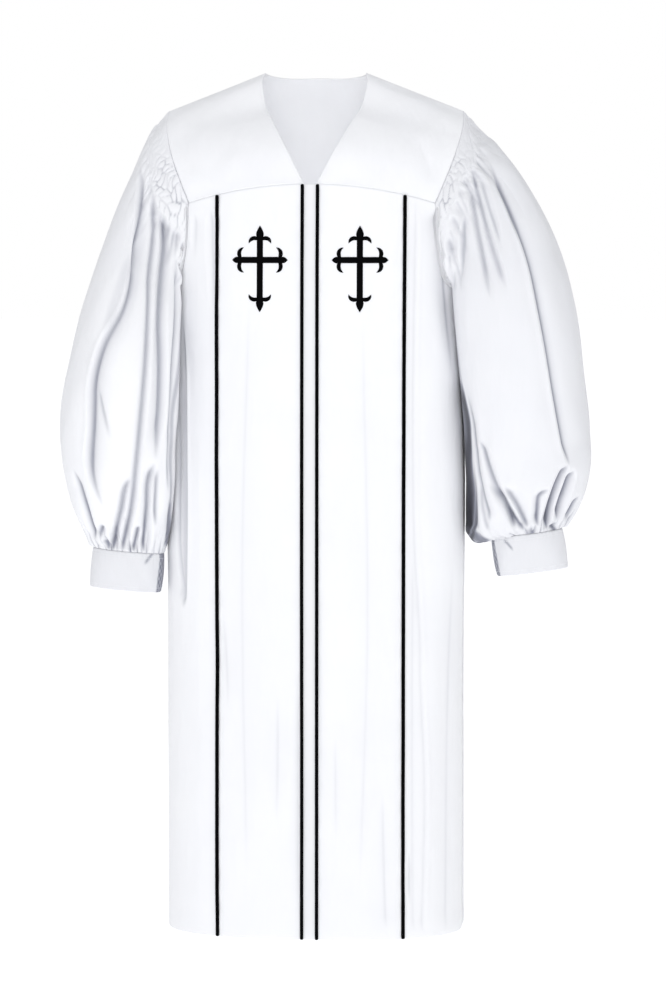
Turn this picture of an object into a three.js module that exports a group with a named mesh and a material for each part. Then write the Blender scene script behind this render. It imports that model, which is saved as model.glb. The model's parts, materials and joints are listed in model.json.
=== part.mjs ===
// A white pulpit robe that keeps the hollow form of a standing wearer.
// Millimetres, +Z up, front towards -Y. The origin lies inside the robe, midway between
// the middles of the two shoulder seams, where the wearer's shoulders carry it.
import * as THREE from 'three';

// ---------------------------------------------------------------- driving dimensions
const CLOTH_WALL = 2;            // thickness of every cloth wall
const SEAM_GAP = 0.4;            // air between two pieces at a seam
const HALF_GAP = SEAM_GAP / 2;
const SIDE_SEAM_TURN = 0.0035;   // half the side seam's gap, as an angle around the body
const HEM_Z = -1250;             // lower edge of body and pipings
const ROUNDNESS = 0.8;           // exponent of the body's rounded section, 1 is an ellipse
const SPINE_SHARE = 0.6;         // how strongly walls grow towards the middle across the front

const PIPING_INNER_X = 11;       // middle of the piping beside the placket
const PIPING_OUTER_X = 137;      // middle of the piping between centre and side front
const PIPING_WIDTH = 5;
const PIPING_RISE = 2.8;
const PIPING_CLEARANCE = 0.4;    // height of a piping's underside over the panels
const PLACKET_SINK = 0.8;        // how far the placket lies behind the centre panels

const NECK = { x: 75, z: 30 };               // upper end of the V, on the shoulder seam
const SHOULDER_TIP = { x: 219, z: -26 };     // where the shoulder seam meets the sleeve
const V_BOTTOM_X = 8.9;                      // half width of the V at the placket
const YOKE_CORNER_X = 182;                   // where the yoke seam meets the armhole
const YOKE_SEAM = { z: -134.5, sag: 0.00085 };   // front seam height, and its fall with x squared
const BACK_SEAM_Z = -150;                    // back yoke seam at the middle
const BACK_NECK_Y = 56;          // depth of the back neckline behind the shoulder seams
const UNDERARM_Z = -290;

const CUFF_HEIGHT = 58;
const SHIRRING = 26;             // pleats gathered into each armhole and into each cuff
const FLUTES = 13;               // soft flutes across the back
const FLUTE_DEPTH = 8;           // at the hem
const CROSS_THICKNESS = 1.2;
const CROSS_CLEARANCE = 0.6;

// Sections of the body from the yoke down: half width and depth in front and behind.
const BODY = [
  { z: -100, half: 226, front: 103, back: 96 },
  { z: -163, half: 225, front: 107, back: 99 },
  { z: -290, half: 216, front: 115, back: 108 },
  { z: -400, half: 219, front: 118, back: 113 },
  { z: -520, half: 222.5, front: 120, back: 117 },
  { z: -800, half: 222.5, front: 123, back: 124 },
  { z: HEM_Z, half: 222.5, front: 128, back: 136 },
];

// Edge of the V in front, from the shoulder seam to the placket.
const NECK_EDGE = [
  { t: 0, x: NECK.x, y: 0, z: NECK.z },
  { t: 0.12, x: 78, y: -16, z: 18 },
  { t: 0.3, x: 71, y: -38, z: -19 },
  { t: 0.45, x: 60, y: -61, z: -39 },
  { t: 0.7, x: 38, y: -91, z: -79 },
];

// Upper armhole from the shoulder tip to the yoke corner. The back lies a little flatter.
const BACK_ARM_SHARE = 0.93;
const ARM_EDGE = [
  { t: 0, x: SHOULDER_TIP.x, y: 0, z: SHOULDER_TIP.z },
  { t: 0.22, x: 220, y: -29, z: -50 },
  { t: 0.48, x: 211, y: -54, z: -88 },
  { t: 0.74, x: 198, y: -67, z: -124 },
];

// Long folds in the front: middle x at the top and at the hem, height range, width and rise.
const FRONT_FOLDS = [
  { x: 157, xHem: 168, top: -170, bottom: -1400, width: 10, rise: 3.5 },
  { x: 145, xHem: 150, top: -640, bottom: -1400, width: 8, rise: -3.5 },
  { x: -203, xHem: -196, top: -300, bottom: -780, width: 9, rise: -8 },
  { x: -216, xHem: -214, top: -300, bottom: -900, width: 8, rise: 3 },
  { x: -172, xHem: -178, top: -420, bottom: -1400, width: 20, rise: 2.5 },
  { x: 205, xHem: 196, top: -560, bottom: -1400, width: 16, rise: -4 },
];

// Sections down a sleeve: outermost and innermost point seen from the front, middle depth
// and half depth. "pleat" is how far its small pleats stand in and out. The tucks are how
// far the cloth wraps round the body's side, in front of the innermost point and behind it.
const SLEEVE_LEFT = [
  { outX: 272, outZ: -121, inX: 222, inZ: -308, midY: -10, depth: 90, pleat: 3, foreTuck: 40, rearTuck: 6 },
  { outX: 300, outZ: -188, inX: 212, inZ: -351, midY: -28, depth: 97, pleat: 2, foreTuck: 42, rearTuck: 8 },
  { outX: 332, outZ: -277, inX: 208, inZ: -411, midY: -42, depth: 100, pleat: 1.2, foreTuck: 40, rearTuck: 8 },
  { outX: 357, outZ: -366, inX: 206, inZ: -478, midY: -48, depth: 100, pleat: 1, foreTuck: 36, rearTuck: 8 },
  { outX: 375, outZ: -456, inX: 207, inZ: -530, midY: -50, depth: 96, pleat: 1, foreTuck: 32, rearTuck: 8 },
  { outX: 377, outZ: -516, inX: 209, inZ: -575, midY: -50, depth: 88, pleat: 1.5, foreTuck: 31, rearTuck: 8 },
  { outX: 371, outZ: -568, inX: 212, inZ: -612, midY: -48, depth: 76, pleat: 2.5, foreTuck: 29, rearTuck: 8 },
  { outX: 360, outZ: -618, inX: 215, inZ: -646, midY: -45, depth: 60, pleat: 3, foreTuck: 21, rearTuck: 6 },
  { outX: 344, outZ: -652, inX: 219, inZ: -668, midY: -42, depth: 43, pleat: 2.5, foreTuck: 9, rearTuck: 3 },
  { outX: 331, outZ: -676, inX: 224, inZ: -685, midY: -40, depth: 32, pleat: 0.9, foreTuck: 0, rearTuck: 0 },
];
const SLEEVE_RIGHT = [
  { outX: 284, outZ: -96, inX: 225, inZ: -300, midY: -4, depth: 90, pleat: 3, foreTuck: 32, rearTuck: 6 },
  { outX: 330, outZ: -160, inX: 224, inZ: -338, midY: -8, depth: 98, pleat: 2, foreTuck: 32, rearTuck: 8 },
  { outX: 370, outZ: -250, inX: 225, inZ: -398, midY: -10, depth: 102, pleat: 1.2, foreTuck: 30, rearTuck: 8 },
  { outX: 392, outZ: -340, inX: 226, inZ: -458, midY: -10, depth: 102, pleat: 1, foreTuck: 24, rearTuck: 8 },
  { outX: 402, outZ: -430, inX: 228, inZ: -520, midY: -10, depth: 98, pleat: 1, foreTuck: 14, rearTuck: 8 },
  { outX: 410, outZ: -500, inX: 229, inZ: -575, midY: -10, depth: 90, pleat: 1.5, foreTuck: 7, rearTuck: 8 },
  { outX: 411, outZ: -552, inX: 230, inZ: -615, midY: -10, depth: 78, pleat: 2.5, foreTuck: 4, rearTuck: 8 },
  { outX: 402, outZ: -590, inX: 236, inZ: -640, midY: -10, depth: 60, pleat: 3, foreTuck: 2, rearTuck: 6 },
  { outX: 386, outZ: -622, inX: 249, inZ: -652, midY: -10, depth: 43, pleat: 2.5, foreTuck: 0, rearTuck: 3 },
  { outX: 369, outZ: -646, inX: 263, inZ: -660, midY: -10, depth: 32, pleat: 0.9, foreTuck: 0, rearTuck: 0 },
];

// Large folds of a sleeve: place around it in degrees (0 outside, 90 front, 180 inside), at
// the head and at the cuff, rows that they span as shares of its length, width, and rise.
const SLEEVE_FOLDS_LEFT = [
  { head: 52, cuff: 20, from: 0.12, to: 0.85, width: 11, rise: -12 },
  { head: 84, cuff: 62, from: 0.15, to: 1, width: 12, rise: -8 },
  { head: 124, cuff: 118, from: 0.2, to: 0.95, width: 14, rise: -12 },
  { head: 30, cuff: 48, from: 0.6, to: 1, width: 12, rise: -9 },
  { head: 205, cuff: 200, from: 0.3, to: 0.95, width: 16, rise: -7 },
  { head: 262, cuff: 250, from: 0.15, to: 0.95, width: 13, rise: -10 },
  { head: 318, cuff: 300, from: 0.12, to: 0.9, width: 13, rise: -11 },
];
const SLEEVE_FOLDS_RIGHT = [
  { head: 40, cuff: 28, from: 0.1, to: 1, width: 10, rise: -11 },
  { head: 75, cuff: 70, from: 0.12, to: 0.55, width: 11, rise: -8 },
  { head: 100, cuff: 60, from: 0.5, to: 1, width: 12, rise: -10 },
  { head: 140, cuff: 120, from: 0.25, to: 1, width: 14, rise: -9 },
  { head: 215, cuff: 205, from: 0.3, to: 0.95, width: 15, rise: -7 },
  { head: 270, cuff: 255, from: 0.15, to: 0.95, width: 13, rise: -10 },
  { head: 322, cuff: 305, from: 0.12, to: 0.9, width: 13, rise: -11 },
];

// One arm of the cross's outline from its root to its tip, right half only: distance along
// the arm, measured back from the tip, and half width. Each petal curls back on the arm.
const CROSS_BAR_HALF = 4.5;
const CROSS_CENTRE = { x: 73.3, z: -246 };
const LONG_BUD = [
  { back: 24, side: CROSS_BAR_HALF },
  { back: 21, side: 7.5 },
  { back: 21.5, side: 12 },
  { back: 25.5, side: 16 },
  { back: 20.5, side: 15 },
  { back: 15.5, side: 11.5 },
  { back: 15.5, side: 7 },
  { back: 13.5, side: 5.5 },
  { back: 7, side: 4.2 },
];
const SHORT_BUD = [
  { back: 20, side: CROSS_BAR_HALF },
  { back: 13.5, side: 8 },
  { back: 13, side: 13 },
  { back: 17, side: 18 },
  { back: 11, side: 15.5 },
  { back: 7.5, side: 11 },
  { back: 8, side: 6.5 },
  { back: 5, side: 4.4 },
];
const CROSS_ARMS = [
  { name: 'top', length: 50, dx: 0, dz: 1, bud: LONG_BUD },
  { name: 'right', length: 41, dx: 1, dz: 0, bud: SHORT_BUD },
  { name: 'bottom', length: 76, dx: 0, dz: -1, bud: LONG_BUD },
  { name: 'left', length: 41, dx: -1, dz: 0, bud: SHORT_BUD },
];
const CROSS_STEP = 11;           // longest stretch of a bar between two cuts

// ---------------------------------------------------------------- finishes
const whiteCloth = new THREE.MeshStandardMaterial({ color: 0xf2f3f6, roughness: 0.62, metalness: 0 });
const placketCloth = new THREE.MeshStandardMaterial({ color: 0xe9eaef, roughness: 0.66, metalness: 0 });
const blackCord = new THREE.MeshStandardMaterial({ color: 0x0d0d0f, roughness: 0.55, metalness: 0 });
const blackThread = new THREE.MeshStandardMaterial({ color: 0x101012, roughness: 0.48, metalness: 0 });

// ---------------------------------------------------------------- small helpers
const mix = (a, b, share) => a + (b - a) * share;
const clamp01 = (value) => Math.min(1, Math.max(0, value));
const smooth = (value) => clamp01(value) ** 2 * (3 - 2 * clamp01(value));
const bell = (distance, width) => Math.exp(-((distance / width) ** 2));
const steps = (count) => Array.from({ length: count + 1 }, (_, i) => i / count);

// Reads one column of a table that is sorted along "key", with straight lines between rows.
function readTable(table, key, at, column) {
  const rising = table[table.length - 1][key] > table[0][key];
  let i = 0;
  while (i < table.length - 2 && (rising ? at > table[i + 1][key] : at < table[i + 1][key])) i += 1;
  const share = clamp01((at - table[i][key]) / (table[i + 1][key] - table[i][key]));
  return mix(table[i][column], table[i + 1][column], share);
}

// A smooth curve through a short table of points, read by its column t.
function curveFrom(rows) {
  const spline = new THREE.CatmullRomCurve3(rows.map((row) => new THREE.Vector3(row.x, row.y, row.z)));
  const last = rows.length - 1;
  return (t) => {
    let i = 0;
    while (i < last - 1 && t > rows[i + 1].t) i += 1;
    const share = clamp01((t - rows[i].t) / (rows[i + 1].t - rows[i].t));
    return spline.getPoint((i + share) / last);
  };
}

// Turns an indexed set of points into a mesh whose faces point out.
function solid(name, position, index, material) {
  let volume = 0;
  const [a, b, c] = [new THREE.Vector3(), new THREE.Vector3(), new THREE.Vector3()];
  for (let i = 0; i < index.length; i += 3) {
    a.fromArray(position, index[i] * 3);
    b.fromArray(position, index[i + 1] * 3);
    c.fromArray(position, index[i + 2] * 3);
    volume += a.dot(b.cross(c));
  }
  const geometry = new THREE.BufferGeometry();
  geometry.setAttribute('position', new THREE.Float32BufferAttribute(position, 3));
  geometry.setIndex(volume > 0 ? index : index.toReversed());
  geometry.computeVertexNormals();
  const mesh = new THREE.Mesh(geometry, material);
  mesh.name = name;
  return mesh;
}

// A wall between an outer and an inner grid of points; "ring" closes each row on itself.
function wall(name, outer, inner, material, ring = false) {
  const rows = outer.length;
  const cols = outer[0].length;
  const position = [outer, inner].flatMap((grid) => grid.flatMap((row) => row.flatMap((p) => p.toArray())));
  const at = (side, i, j) => side * rows * cols + i * cols + (j % cols);
  const index = [];
  const quad = (p, q, r, s) => index.push(p, q, r, p, r, s);
  const lastCol = ring ? cols : cols - 1;
  const end = rows - 1;
  for (let j = 0; j < lastCol; j += 1) {
    for (let i = 0; i < end; i += 1) {
      quad(at(0, i, j), at(0, i + 1, j), at(0, i + 1, j + 1), at(0, i, j + 1));
      quad(at(1, i, j), at(1, i, j + 1), at(1, i + 1, j + 1), at(1, i + 1, j));
    }
    quad(at(0, 0, j), at(0, 0, j + 1), at(1, 0, j + 1), at(1, 0, j));
    quad(at(0, end, j), at(1, end, j), at(1, end, j + 1), at(0, end, j + 1));
  }
  for (let i = 0; i < end && !ring; i += 1) {
    quad(at(0, i, 0), at(1, i, 0), at(1, i + 1, 0), at(0, i + 1, 0));
    quad(at(0, i, lastCol), at(0, i + 1, lastCol), at(1, i + 1, lastCol), at(1, i, lastCol));
  }
  return solid(name, position, index, material);
}

// ---------------------------------------------------------------- the body's form
// Direction in which a body wall grows: level, towards the spine.
const towardsSpine = (p) => new THREE.Vector3(-SPINE_SHARE * p.x, -p.y, 0).normalize();

function sectionPoint(turn, z) {
  const side = Math.sin(turn);
  const fore = Math.cos(turn);
  const depth = readTable(BODY, 'z', z, fore > 0 ? 'front' : 'back');
  const x = readTable(BODY, 'z', z, 'half') * Math.sign(side) * Math.abs(side) ** ROUNDNESS;
  const y = -depth * Math.sign(fore) * Math.abs(fore) ** ROUNDNESS;
  return new THREE.Vector3(x, y, z);
}

// Angle around the body, from front centre towards +X, at which the front lies at x.
function turnAt(x, z) {
  const share = Math.min(1, Math.abs(x) / readTable(BODY, 'z', z, 'half'));
  return Math.sign(x) * Math.asin(share ** (1 / ROUNDNESS));
}

const frontSeamZ = (x) => YOKE_SEAM.z - YOKE_SEAM.sag * x * x;
const cornerZ = frontSeamZ(YOKE_CORNER_X);

// Share of a fold's full rise at a place between its two ends, 0 at both of them.
const FADE_IN = 0.3;
const FADE_OUT = 0.25;
function swell(from, to, at) {
  const length = to - from;
  return smooth((at - from) / (FADE_IN * length)) * smooth((to - at) / (FADE_OUT * length));
}

// Flutes of the back, shallow at the yoke and even deeper towards the hem, none at the sides.
const FLUTE_SIDE_FADE = 0.35;    // angle from the side seam at which they are full
const FLUTE_GROWTH = 0.8;
function fluteRise(z, turn) {
  const fade = smooth((Math.abs(turn) - Math.PI / 2) / FLUTE_SIDE_FADE)
    * smooth((1.5 * Math.PI - Math.abs(turn)) / FLUTE_SIDE_FADE);
  const fall = clamp01((z - cornerZ) / (HEM_Z - cornerZ)) ** FLUTE_GROWTH;
  return FLUTE_DEPTH * fall * fade * Math.cos(FLUTES * (turn - Math.PI) + 0.5 * Math.sin(3 * turn));
}

// Long folds and flutes, as a distance outwards.
function foldRise(p, turn) {
  if (Math.abs(turn) > Math.PI / 2) return fluteRise(p.z, turn);
  let rise = 0;
  for (const fold of FRONT_FOLDS) {
    const x = mix(fold.x, fold.xHem, (p.z - BACK_SEAM_Z) / (HEM_Z - BACK_SEAM_Z));
    rise += fold.rise * swell(-fold.top, -fold.bottom, -p.z) * bell(p.x - x, fold.width);
  }
  return rise;
}

function bodyPoint(turn, z, lift = 0) {
  const p = sectionPoint(turn, z);
  const out = towardsSpine(p).negate();
  return p.addScaledVector(out, foldRise(p, turn) + lift);
}

const backSeamZ = (x) => mix(BACK_SEAM_Z, cornerZ, (x / YOKE_CORNER_X) ** 2);
const underarmX = readTable(BODY, 'z', UNDERARM_Z, 'half');

// Lower armhole: a rounded quarter from the yoke corner down and back to the underarm.
const LOWER_ARM_POWER = 0.9;
const lowerArmX = (angle) => mix(YOKE_CORNER_X, underarmX, 1 - Math.cos(angle) ** LOWER_ARM_POWER);
const lowerArmZ = (angle) => mix(cornerZ, UNDERARM_Z, Math.sin(angle) ** LOWER_ARM_POWER);
// Rows of a body panel, from its own top to the hem, closer together above.
const ROW_CROWDING = 1.15;
const rowZ = (top, share) => mix(top - HALF_GAP, HEM_Z, share ** ROW_CROWDING);

// A column keeps either its x or its angle all the way down, and starts at its own top.
const columnAtX = (x) => ({ top: frontSeamZ(x), turnIn: (z) => turnAt(x, z) });
const columnAtTurn = (turn, top) => ({ top, turnIn: () => turn });

function bodyPanel(name, columns, rows, lift = 0) {
  const grid = (depth) => steps(rows).map((share) => columns.map((column) => {
    const z = rowZ(column.top, share);
    const turn = column.turnIn(z);
    const level = towardsSpine(sectionPoint(turn, z));
    return bodyPoint(turn, z, lift).addScaledVector(level, depth);
  }));
  return wall(name, grid(0), grid(CLOTH_WALL), whiteCloth);
}

// ---------------------------------------------------------------- body panels
const FRONT_ROWS = 17;
const BACK_ROWS = 11;
const ARMHOLE_COLUMNS = 6;
const BACK_COLUMNS = 40;

function centreFront(name, side) {
  const from = PIPING_INNER_X + HALF_GAP;
  const to = PIPING_OUTER_X - HALF_GAP;
  const columns = steps(7).map((share) => columnAtX(side * mix(from, to, share)));
  return bodyPanel(name, columns, FRONT_ROWS);
}

// Columns under the lower armhole, from the side seam to the yoke corner, on the right.
function armholeColumns() {
  return steps(ARMHOLE_COLUMNS).slice(0, -1).map((share) => {
    const angle = (1 - share) * Math.PI / 2;
    const z = lowerArmZ(angle);
    const turn = share === 0 ? Math.PI / 2 - SIDE_SEAM_TURN : turnAt(lowerArmX(angle), z);
    return columnAtTurn(turn, z);
  });
}

function sideFront(name, side) {
  const from = PIPING_OUTER_X + HALF_GAP;
  const flat = steps(4).slice(1).map((share) => mix(from, YOKE_CORNER_X, share));
  const columns = [
    columnAtX(from),
    ...flat.map((x) => columnAtTurn(turnAt(x, frontSeamZ(x)), frontSeamZ(x))),
    ...armholeColumns().reverse(),
  ];
  const mirrored = columns.map((column) => ({ top: column.top, turnIn: (z) => side * column.turnIn(z) }));
  return bodyPanel(name, mirrored, FRONT_ROWS);
}

function placket(name) {
  const reach = PIPING_INNER_X - HALF_GAP;
  const columns = [-1, 0, 1].map((share) => columnAtX(share * reach));
  const mesh = bodyPanel(name, columns, FRONT_ROWS, -PLACKET_SINK);
  mesh.material = placketCloth;
  return mesh;
}

function backPanel(name) {
  const corner = turnAt(YOKE_CORNER_X, cornerZ);
  const rim = armholeColumns().map((column) => columnAtTurn(Math.PI - column.turnIn(0), column.top));
  const across = steps(BACK_COLUMNS).map((share) => {
    const turn = mix(Math.PI - corner, Math.PI + corner, share);
    return columnAtTurn(turn, backSeamZ(sectionPoint(turn, cornerZ).x));
  });
  const farRim = rim.map((column) => columnAtTurn(2 * Math.PI - column.turnIn(0), column.top)).reverse();
  return bodyPanel(name, [...rim, ...across, ...farRim], BACK_ROWS);
}

// ---------------------------------------------------------------- yokes
const yokeCorner = sectionPoint(turnAt(YOKE_CORNER_X, cornerZ), cornerZ);
const backCorner = sectionPoint(Math.PI - turnAt(YOKE_CORNER_X, cornerZ), cornerZ);
const armEdge = curveFrom([...ARM_EDGE, { t: 1, ...yokeCorner }]);
const vBottomZ = frontSeamZ(V_BOTTOM_X);
const neckEdge = curveFrom([...NECK_EDGE, { t: 1, ...sectionPoint(turnAt(V_BOTTOM_X, vBottomZ), vBottomZ) }]);
const YOKE_COLUMNS = 7;
const YOKE_ROWS = 7;
const SEAM_INSET = 0.0016;       // share of a yoke's width that makes half a seam gap

// A patch stretched between four edge curves, read across (s) and down (t).
function patch(top, bottom, left, right) {
  return (s, t) => {
    const p = top(s).multiplyScalar(1 - t).addScaledVector(bottom(s), t);
    p.addScaledVector(left(t), 1 - s).addScaledVector(right(t), s);
    p.addScaledVector(top(0), -(1 - s) * (1 - t)).addScaledVector(top(1), -s * (1 - t));
    return p.addScaledVector(bottom(0), -(1 - s) * t).addScaledVector(bottom(1), -s * t);
  };
}

// The wall of a yoke grows straight down at the shoulder seam and level at its lower seam.
function yoke(name, surface, columns) {
  const grid = (depth) => steps(YOKE_ROWS).map((down) => columns.map((s) => {
    const t = mix(SEAM_INSET, 1 - SEAM_INSET, down);
    const p = surface(s, t);
    const inward = new THREE.Vector3(0, 0, t - 1).addScaledVector(towardsSpine(p), t).normalize();
    return p.addScaledVector(inward, depth);
  }));
  return wall(name, grid(0), grid(CLOTH_WALL), whiteCloth);
}

const flip = (p, side) => new THREE.Vector3(side * p.x, p.y, p.z);

function shoulderSeam(share) {
  const x = mix(NECK.x, SHOULDER_TIP.x, share);
  return new THREE.Vector3(x, 0, mix(NECK.z, SHOULDER_TIP.z, share));
}

function frontYoke(name, side) {
  const seam = (s) => {
    const x = mix(V_BOTTOM_X, YOKE_CORNER_X, s);
    return sectionPoint(turnAt(x, frontSeamZ(x)), frontSeamZ(x));
  };
  const surface = patch(shoulderSeam, seam, neckEdge, armEdge);
  const columns = steps(YOKE_COLUMNS).map((share) => mix(SEAM_INSET, 1 - SEAM_INSET, share));
  return yoke(name, (s, t) => flip(surface(s, t), side), columns);
}

const backArmEdge = (t) => {
  const p = armEdge(t);
  return p.setY(-p.y * mix(BACK_ARM_SHARE, -backCorner.y / yokeCorner.y, smooth(2 * t - 1)));
};

// The back yoke is one smooth dome. Its ridge is the shoulder seam, carried on over the
// neck, and its profile turns from a round back in the middle to the armhole at each end.
const shoulderSlope = (SHOULDER_TIP.z - NECK.z) / (SHOULDER_TIP.x - NECK.x);
function ridgeZ(x) {
  const past = Math.abs(x) - NECK.x;
  if (past > 0) return NECK.z + shoulderSlope * past;
  return NECK.z - shoulderSlope * NECK.x / 2 * (1 - (x / NECK.x) ** 2);
}

function backDome(s, turn) {
  const edge = backArmEdge(turn / (Math.PI / 2));
  const seamX = s * YOKE_CORNER_X;
  const seamZ = backSeamZ(seamX);
  const seam = sectionPoint(Math.PI - turnAt(seamX, seamZ), seamZ);
  const foreEdge = edge.y / backCorner.y;
  const riseEdge = (edge.z - cornerZ) / (SHOULDER_TIP.z - cornerZ);
  const fore = mix(Math.sin(turn) ** ROUNDNESS, foreEdge, s * s);
  const rise = mix(Math.cos(turn) ** ROUNDNESS, riseEdge, s * s);
  const ridge = ridgeZ(s * SHOULDER_TIP.x);
  return new THREE.Vector3(s * edge.x, seam.y * fore, mix(seam.z, ridge, rise));
}

// Where the back neckline starts on the dome; on the shoulders it starts at the ridge.
function neckTurn(s) {
  const share = Math.abs(s * SHOULDER_TIP.x) / NECK.x;
  if (share >= 1) return 0;
  const neckY = BACK_NECK_Y * (1 - share ** (2 / ROUNDNESS)) ** (ROUNDNESS / 2);
  return Math.asin((neckY / backDome(s, Math.PI / 2).y) ** (1 / ROUNDNESS));
}

const BACK_SHOULDER_COLUMNS = 6;
const BACK_NECK_COLUMNS = 12;
function backYoke(name) {
  const neck = NECK.x / SHOULDER_TIP.x;
  const end = 1 - SEAM_INSET;
  const shoulder = steps(BACK_SHOULDER_COLUMNS).slice(0, -1).map((share) => mix(end, neck, share));
  const middle = steps(BACK_NECK_COLUMNS).map((share) => neck * Math.cos(Math.PI * share));
  const columns = [...shoulder, ...middle, ...shoulder.toReversed().map((s) => -s)];
  return yoke(name, (s, t) => backDome(s, mix(neckTurn(s), Math.PI / 2, t)), columns);
}

// ---------------------------------------------------------------- sleeves
const SLEEVE_COLUMNS = 2 * SHIRRING;
const SLEEVE_ROWS = 15;
const ARM_START = 1.2;           // the sleeve begins this far outside the armhole
const UPPER_SHARE = 0.52;        // part of the half armhole that belongs to the yoke
const BAND_WIDTH = 27;           // shirred band between its two rows of stitching
const SLEEVE_ROUNDNESS = 0.92;
const BODY_CLEARANCE = 5;        // air between a sleeve and the body beside it

// Armhole at an angle: 0 at the shoulder tip, 90 degrees in front, 180 at the underarm.
function armholePoint(turn) {
  const share = turn <= Math.PI ? turn / Math.PI : 2 - turn / Math.PI;
  const inFront = turn <= Math.PI;
  if (share <= UPPER_SHARE) {
    const t = share / UPPER_SHARE;
    return inFront ? armEdge(t) : backArmEdge(t);
  }
  const angle = (share - UPPER_SHARE) / (1 - UPPER_SHARE) * Math.PI / 2;
  const z = lowerArmZ(angle);
  const around = turnAt(lowerArmX(angle), z);
  return sectionPoint(inFront ? around : Math.PI - around, z);
}

// Directions in which the shirred band leaves the armhole over the shoulder, under the arm
// and in front; behind, it is the front's with y reversed.
const BAND_OVER = new THREE.Vector3(0.8, 0, -0.9);
const BAND_UNDER = new THREE.Vector3(0.35, 0, -0.45);
const BAND_FRONT = new THREE.Vector3(0.95, -0.3, -0.2);

// A point of the band, from the armhole seam (share 0) to its second row of stitching.
function bandPoint(turn, share) {
  const upright = Math.cos(turn);
  const level = Math.sin(turn);
  const way = (upright > 0 ? BAND_OVER : BAND_UNDER).clone().multiplyScalar(upright * upright);
  way.x += BAND_FRONT.x * level * level;
  way.y += BAND_FRONT.y * level;
  way.z += BAND_FRONT.z * level * level;
  const p = armholePoint(turn).addScaledVector(way, BAND_WIDTH * share);
  return p.setX(p.x + ARM_START);
}

// The tucks are fullest halfway between the innermost point and the front or the back.
function sectionOfSleeve(row, turn) {
  const upright = Math.cos(turn);
  const level = Math.sin(turn);
  const along = Math.sign(upright) * Math.abs(upright) ** SLEEVE_ROUNDNESS;
  const fore = Math.sign(level) * Math.abs(level) ** SLEEVE_ROUNDNESS;
  const tuck = level > 0 ? row.foreTuck : row.rearTuck;
  return new THREE.Vector3(
    mix(row.inX, row.outX, (1 + along) / 2) - tuck * Math.max(0, -2 * upright * Math.abs(level)),
    row.midY - row.depth * fore,
    mix(row.inZ, row.outZ, (1 + along) / 2),
  );
}

const middleOf = (ring) => ring.reduce((sum, p) => sum.add(p), new THREE.Vector3()).divideScalar(ring.length);

// How far out the plain body reaches at a depth and height.
function bodyReach(y, z) {
  const depth = readTable(BODY, 'z', z, y < 0 ? 'front' : 'back') + BODY_CLEARANCE;
  const share = Math.min(1, Math.abs(y) / depth) ** (2 / ROUNDNESS);
  const reach = readTable(BODY, 'z', z, 'half') + BODY_CLEARANCE;
  return share < 1 ? reach * (1 - share) ** (ROUNDNESS / 2) : 0;
}

function sleeveRise(folds, turn, share) {
  let rise = 0;
  for (const fold of folds) {
    const offset = THREE.MathUtils.radToDeg(turn) - mix(fold.head, fold.cuff, share);
    rise += fold.rise * swell(fold.from, fold.to, share) * bell(offset, fold.width);
  }
  return rise;
}

// Pleats stand up between the two rows of stitching and are pinched flat at each.
const BAND_SECTIONS = [
  { share: 0, pleat: 0 },
  { share: 0.5, pleat: 2 },
  { share: 1, pleat: 0.5 },
];

function sleeve(name, side, table, folds) {
  const sections = [
    ...BAND_SECTIONS.map((row) => ({ pleat: row.pleat, at: (turn) => bandPoint(turn, row.share) })),
    ...table.map((row) => ({ pleat: row.pleat, at: (turn) => sectionOfSleeve(row, turn) })),
  ];
  const turns = Array.from({ length: SLEEVE_COLUMNS }, (_, j) => 2 * Math.PI * j / SLEEVE_COLUMNS);
  const pleated = sections.map((section) => {
    const ring = turns.map(section.at);
    const middle = middleOf(ring);
    return ring.map((p, j) => {
      const out = p.clone().sub(middle).normalize();
      return p.addScaledVector(out, j % 2 ? section.pleat : -section.pleat);
    });
  });
  const threads = turns.map((_, j) => new THREE.CatmullRomCurve3(pleated.map((ring) => ring[j])));
  const outer = steps(SLEEVE_ROWS).map((share) => {
    const ring = threads.map((thread) => thread.getPoint(share));
    const middle = middleOf(ring);
    return ring.map((p, j) => {
      p.addScaledVector(p.clone().sub(middle).normalize(), sleeveRise(folds, turns[j], share));
      return share > 0 && p.z < cornerZ ? p.setX(Math.max(p.x, bodyReach(p.y, p.z))) : p;
    });
  });
  const inner = outer.map((ring) => {
    const middle = middleOf(ring);
    return ring.map((p) => p.clone().addScaledVector(middle.clone().sub(p).normalize(), CLOTH_WALL));
  });
  const mirrored = (grid) => grid.map((ring) => ring.map((p) => flip(p, side)));
  return wall(name, mirrored(outer), mirrored(inner), whiteCloth, true);
}

// A cuff hangs on a sleeve's last section and keeps its tilt.
const CUFF_COLUMNS = 28;
function cuff(name, side, table, lean) {
  const row = table[table.length - 1];
  const turns = Array.from({ length: CUFF_COLUMNS }, (_, j) => 2 * Math.PI * j / CUFF_COLUMNS);
  const across = new THREE.Vector3(row.outX - row.inX, 0, row.outZ - row.inZ).normalize();
  const down = new THREE.Vector3(across.z, 0, -across.x);
  const rings = (depth) => steps(2).map((share) => turns.map((turn) => {
    const p = sectionOfSleeve(row, turn);
    const middle = new THREE.Vector3((row.outX + row.inX) / 2, row.midY, (row.outZ + row.inZ) / 2);
    const inward = middle.sub(p).normalize();
    p.addScaledVector(down, SEAM_GAP + CUFF_HEIGHT * share).addScaledVector(inward, depth);
    return flip(p.setX(p.x + lean * share), side);
  }));
  return wall(name, rings(0), rings(CLOTH_WALL), whiteCloth, true);
}

// ---------------------------------------------------------------- trim
const frontAt = (x, z, lift) => bodyPoint(turnAt(x, z), z, lift);

const PIPING_SECTION = [
  { across: -1, rise: 0 },
  { across: -0.85, rise: 0.6 },
  { across: -0.4, rise: 1 },
  { across: 0.4, rise: 1 },
  { across: 0.85, rise: 0.6 },
  { across: 1, rise: 0 },
];

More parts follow.
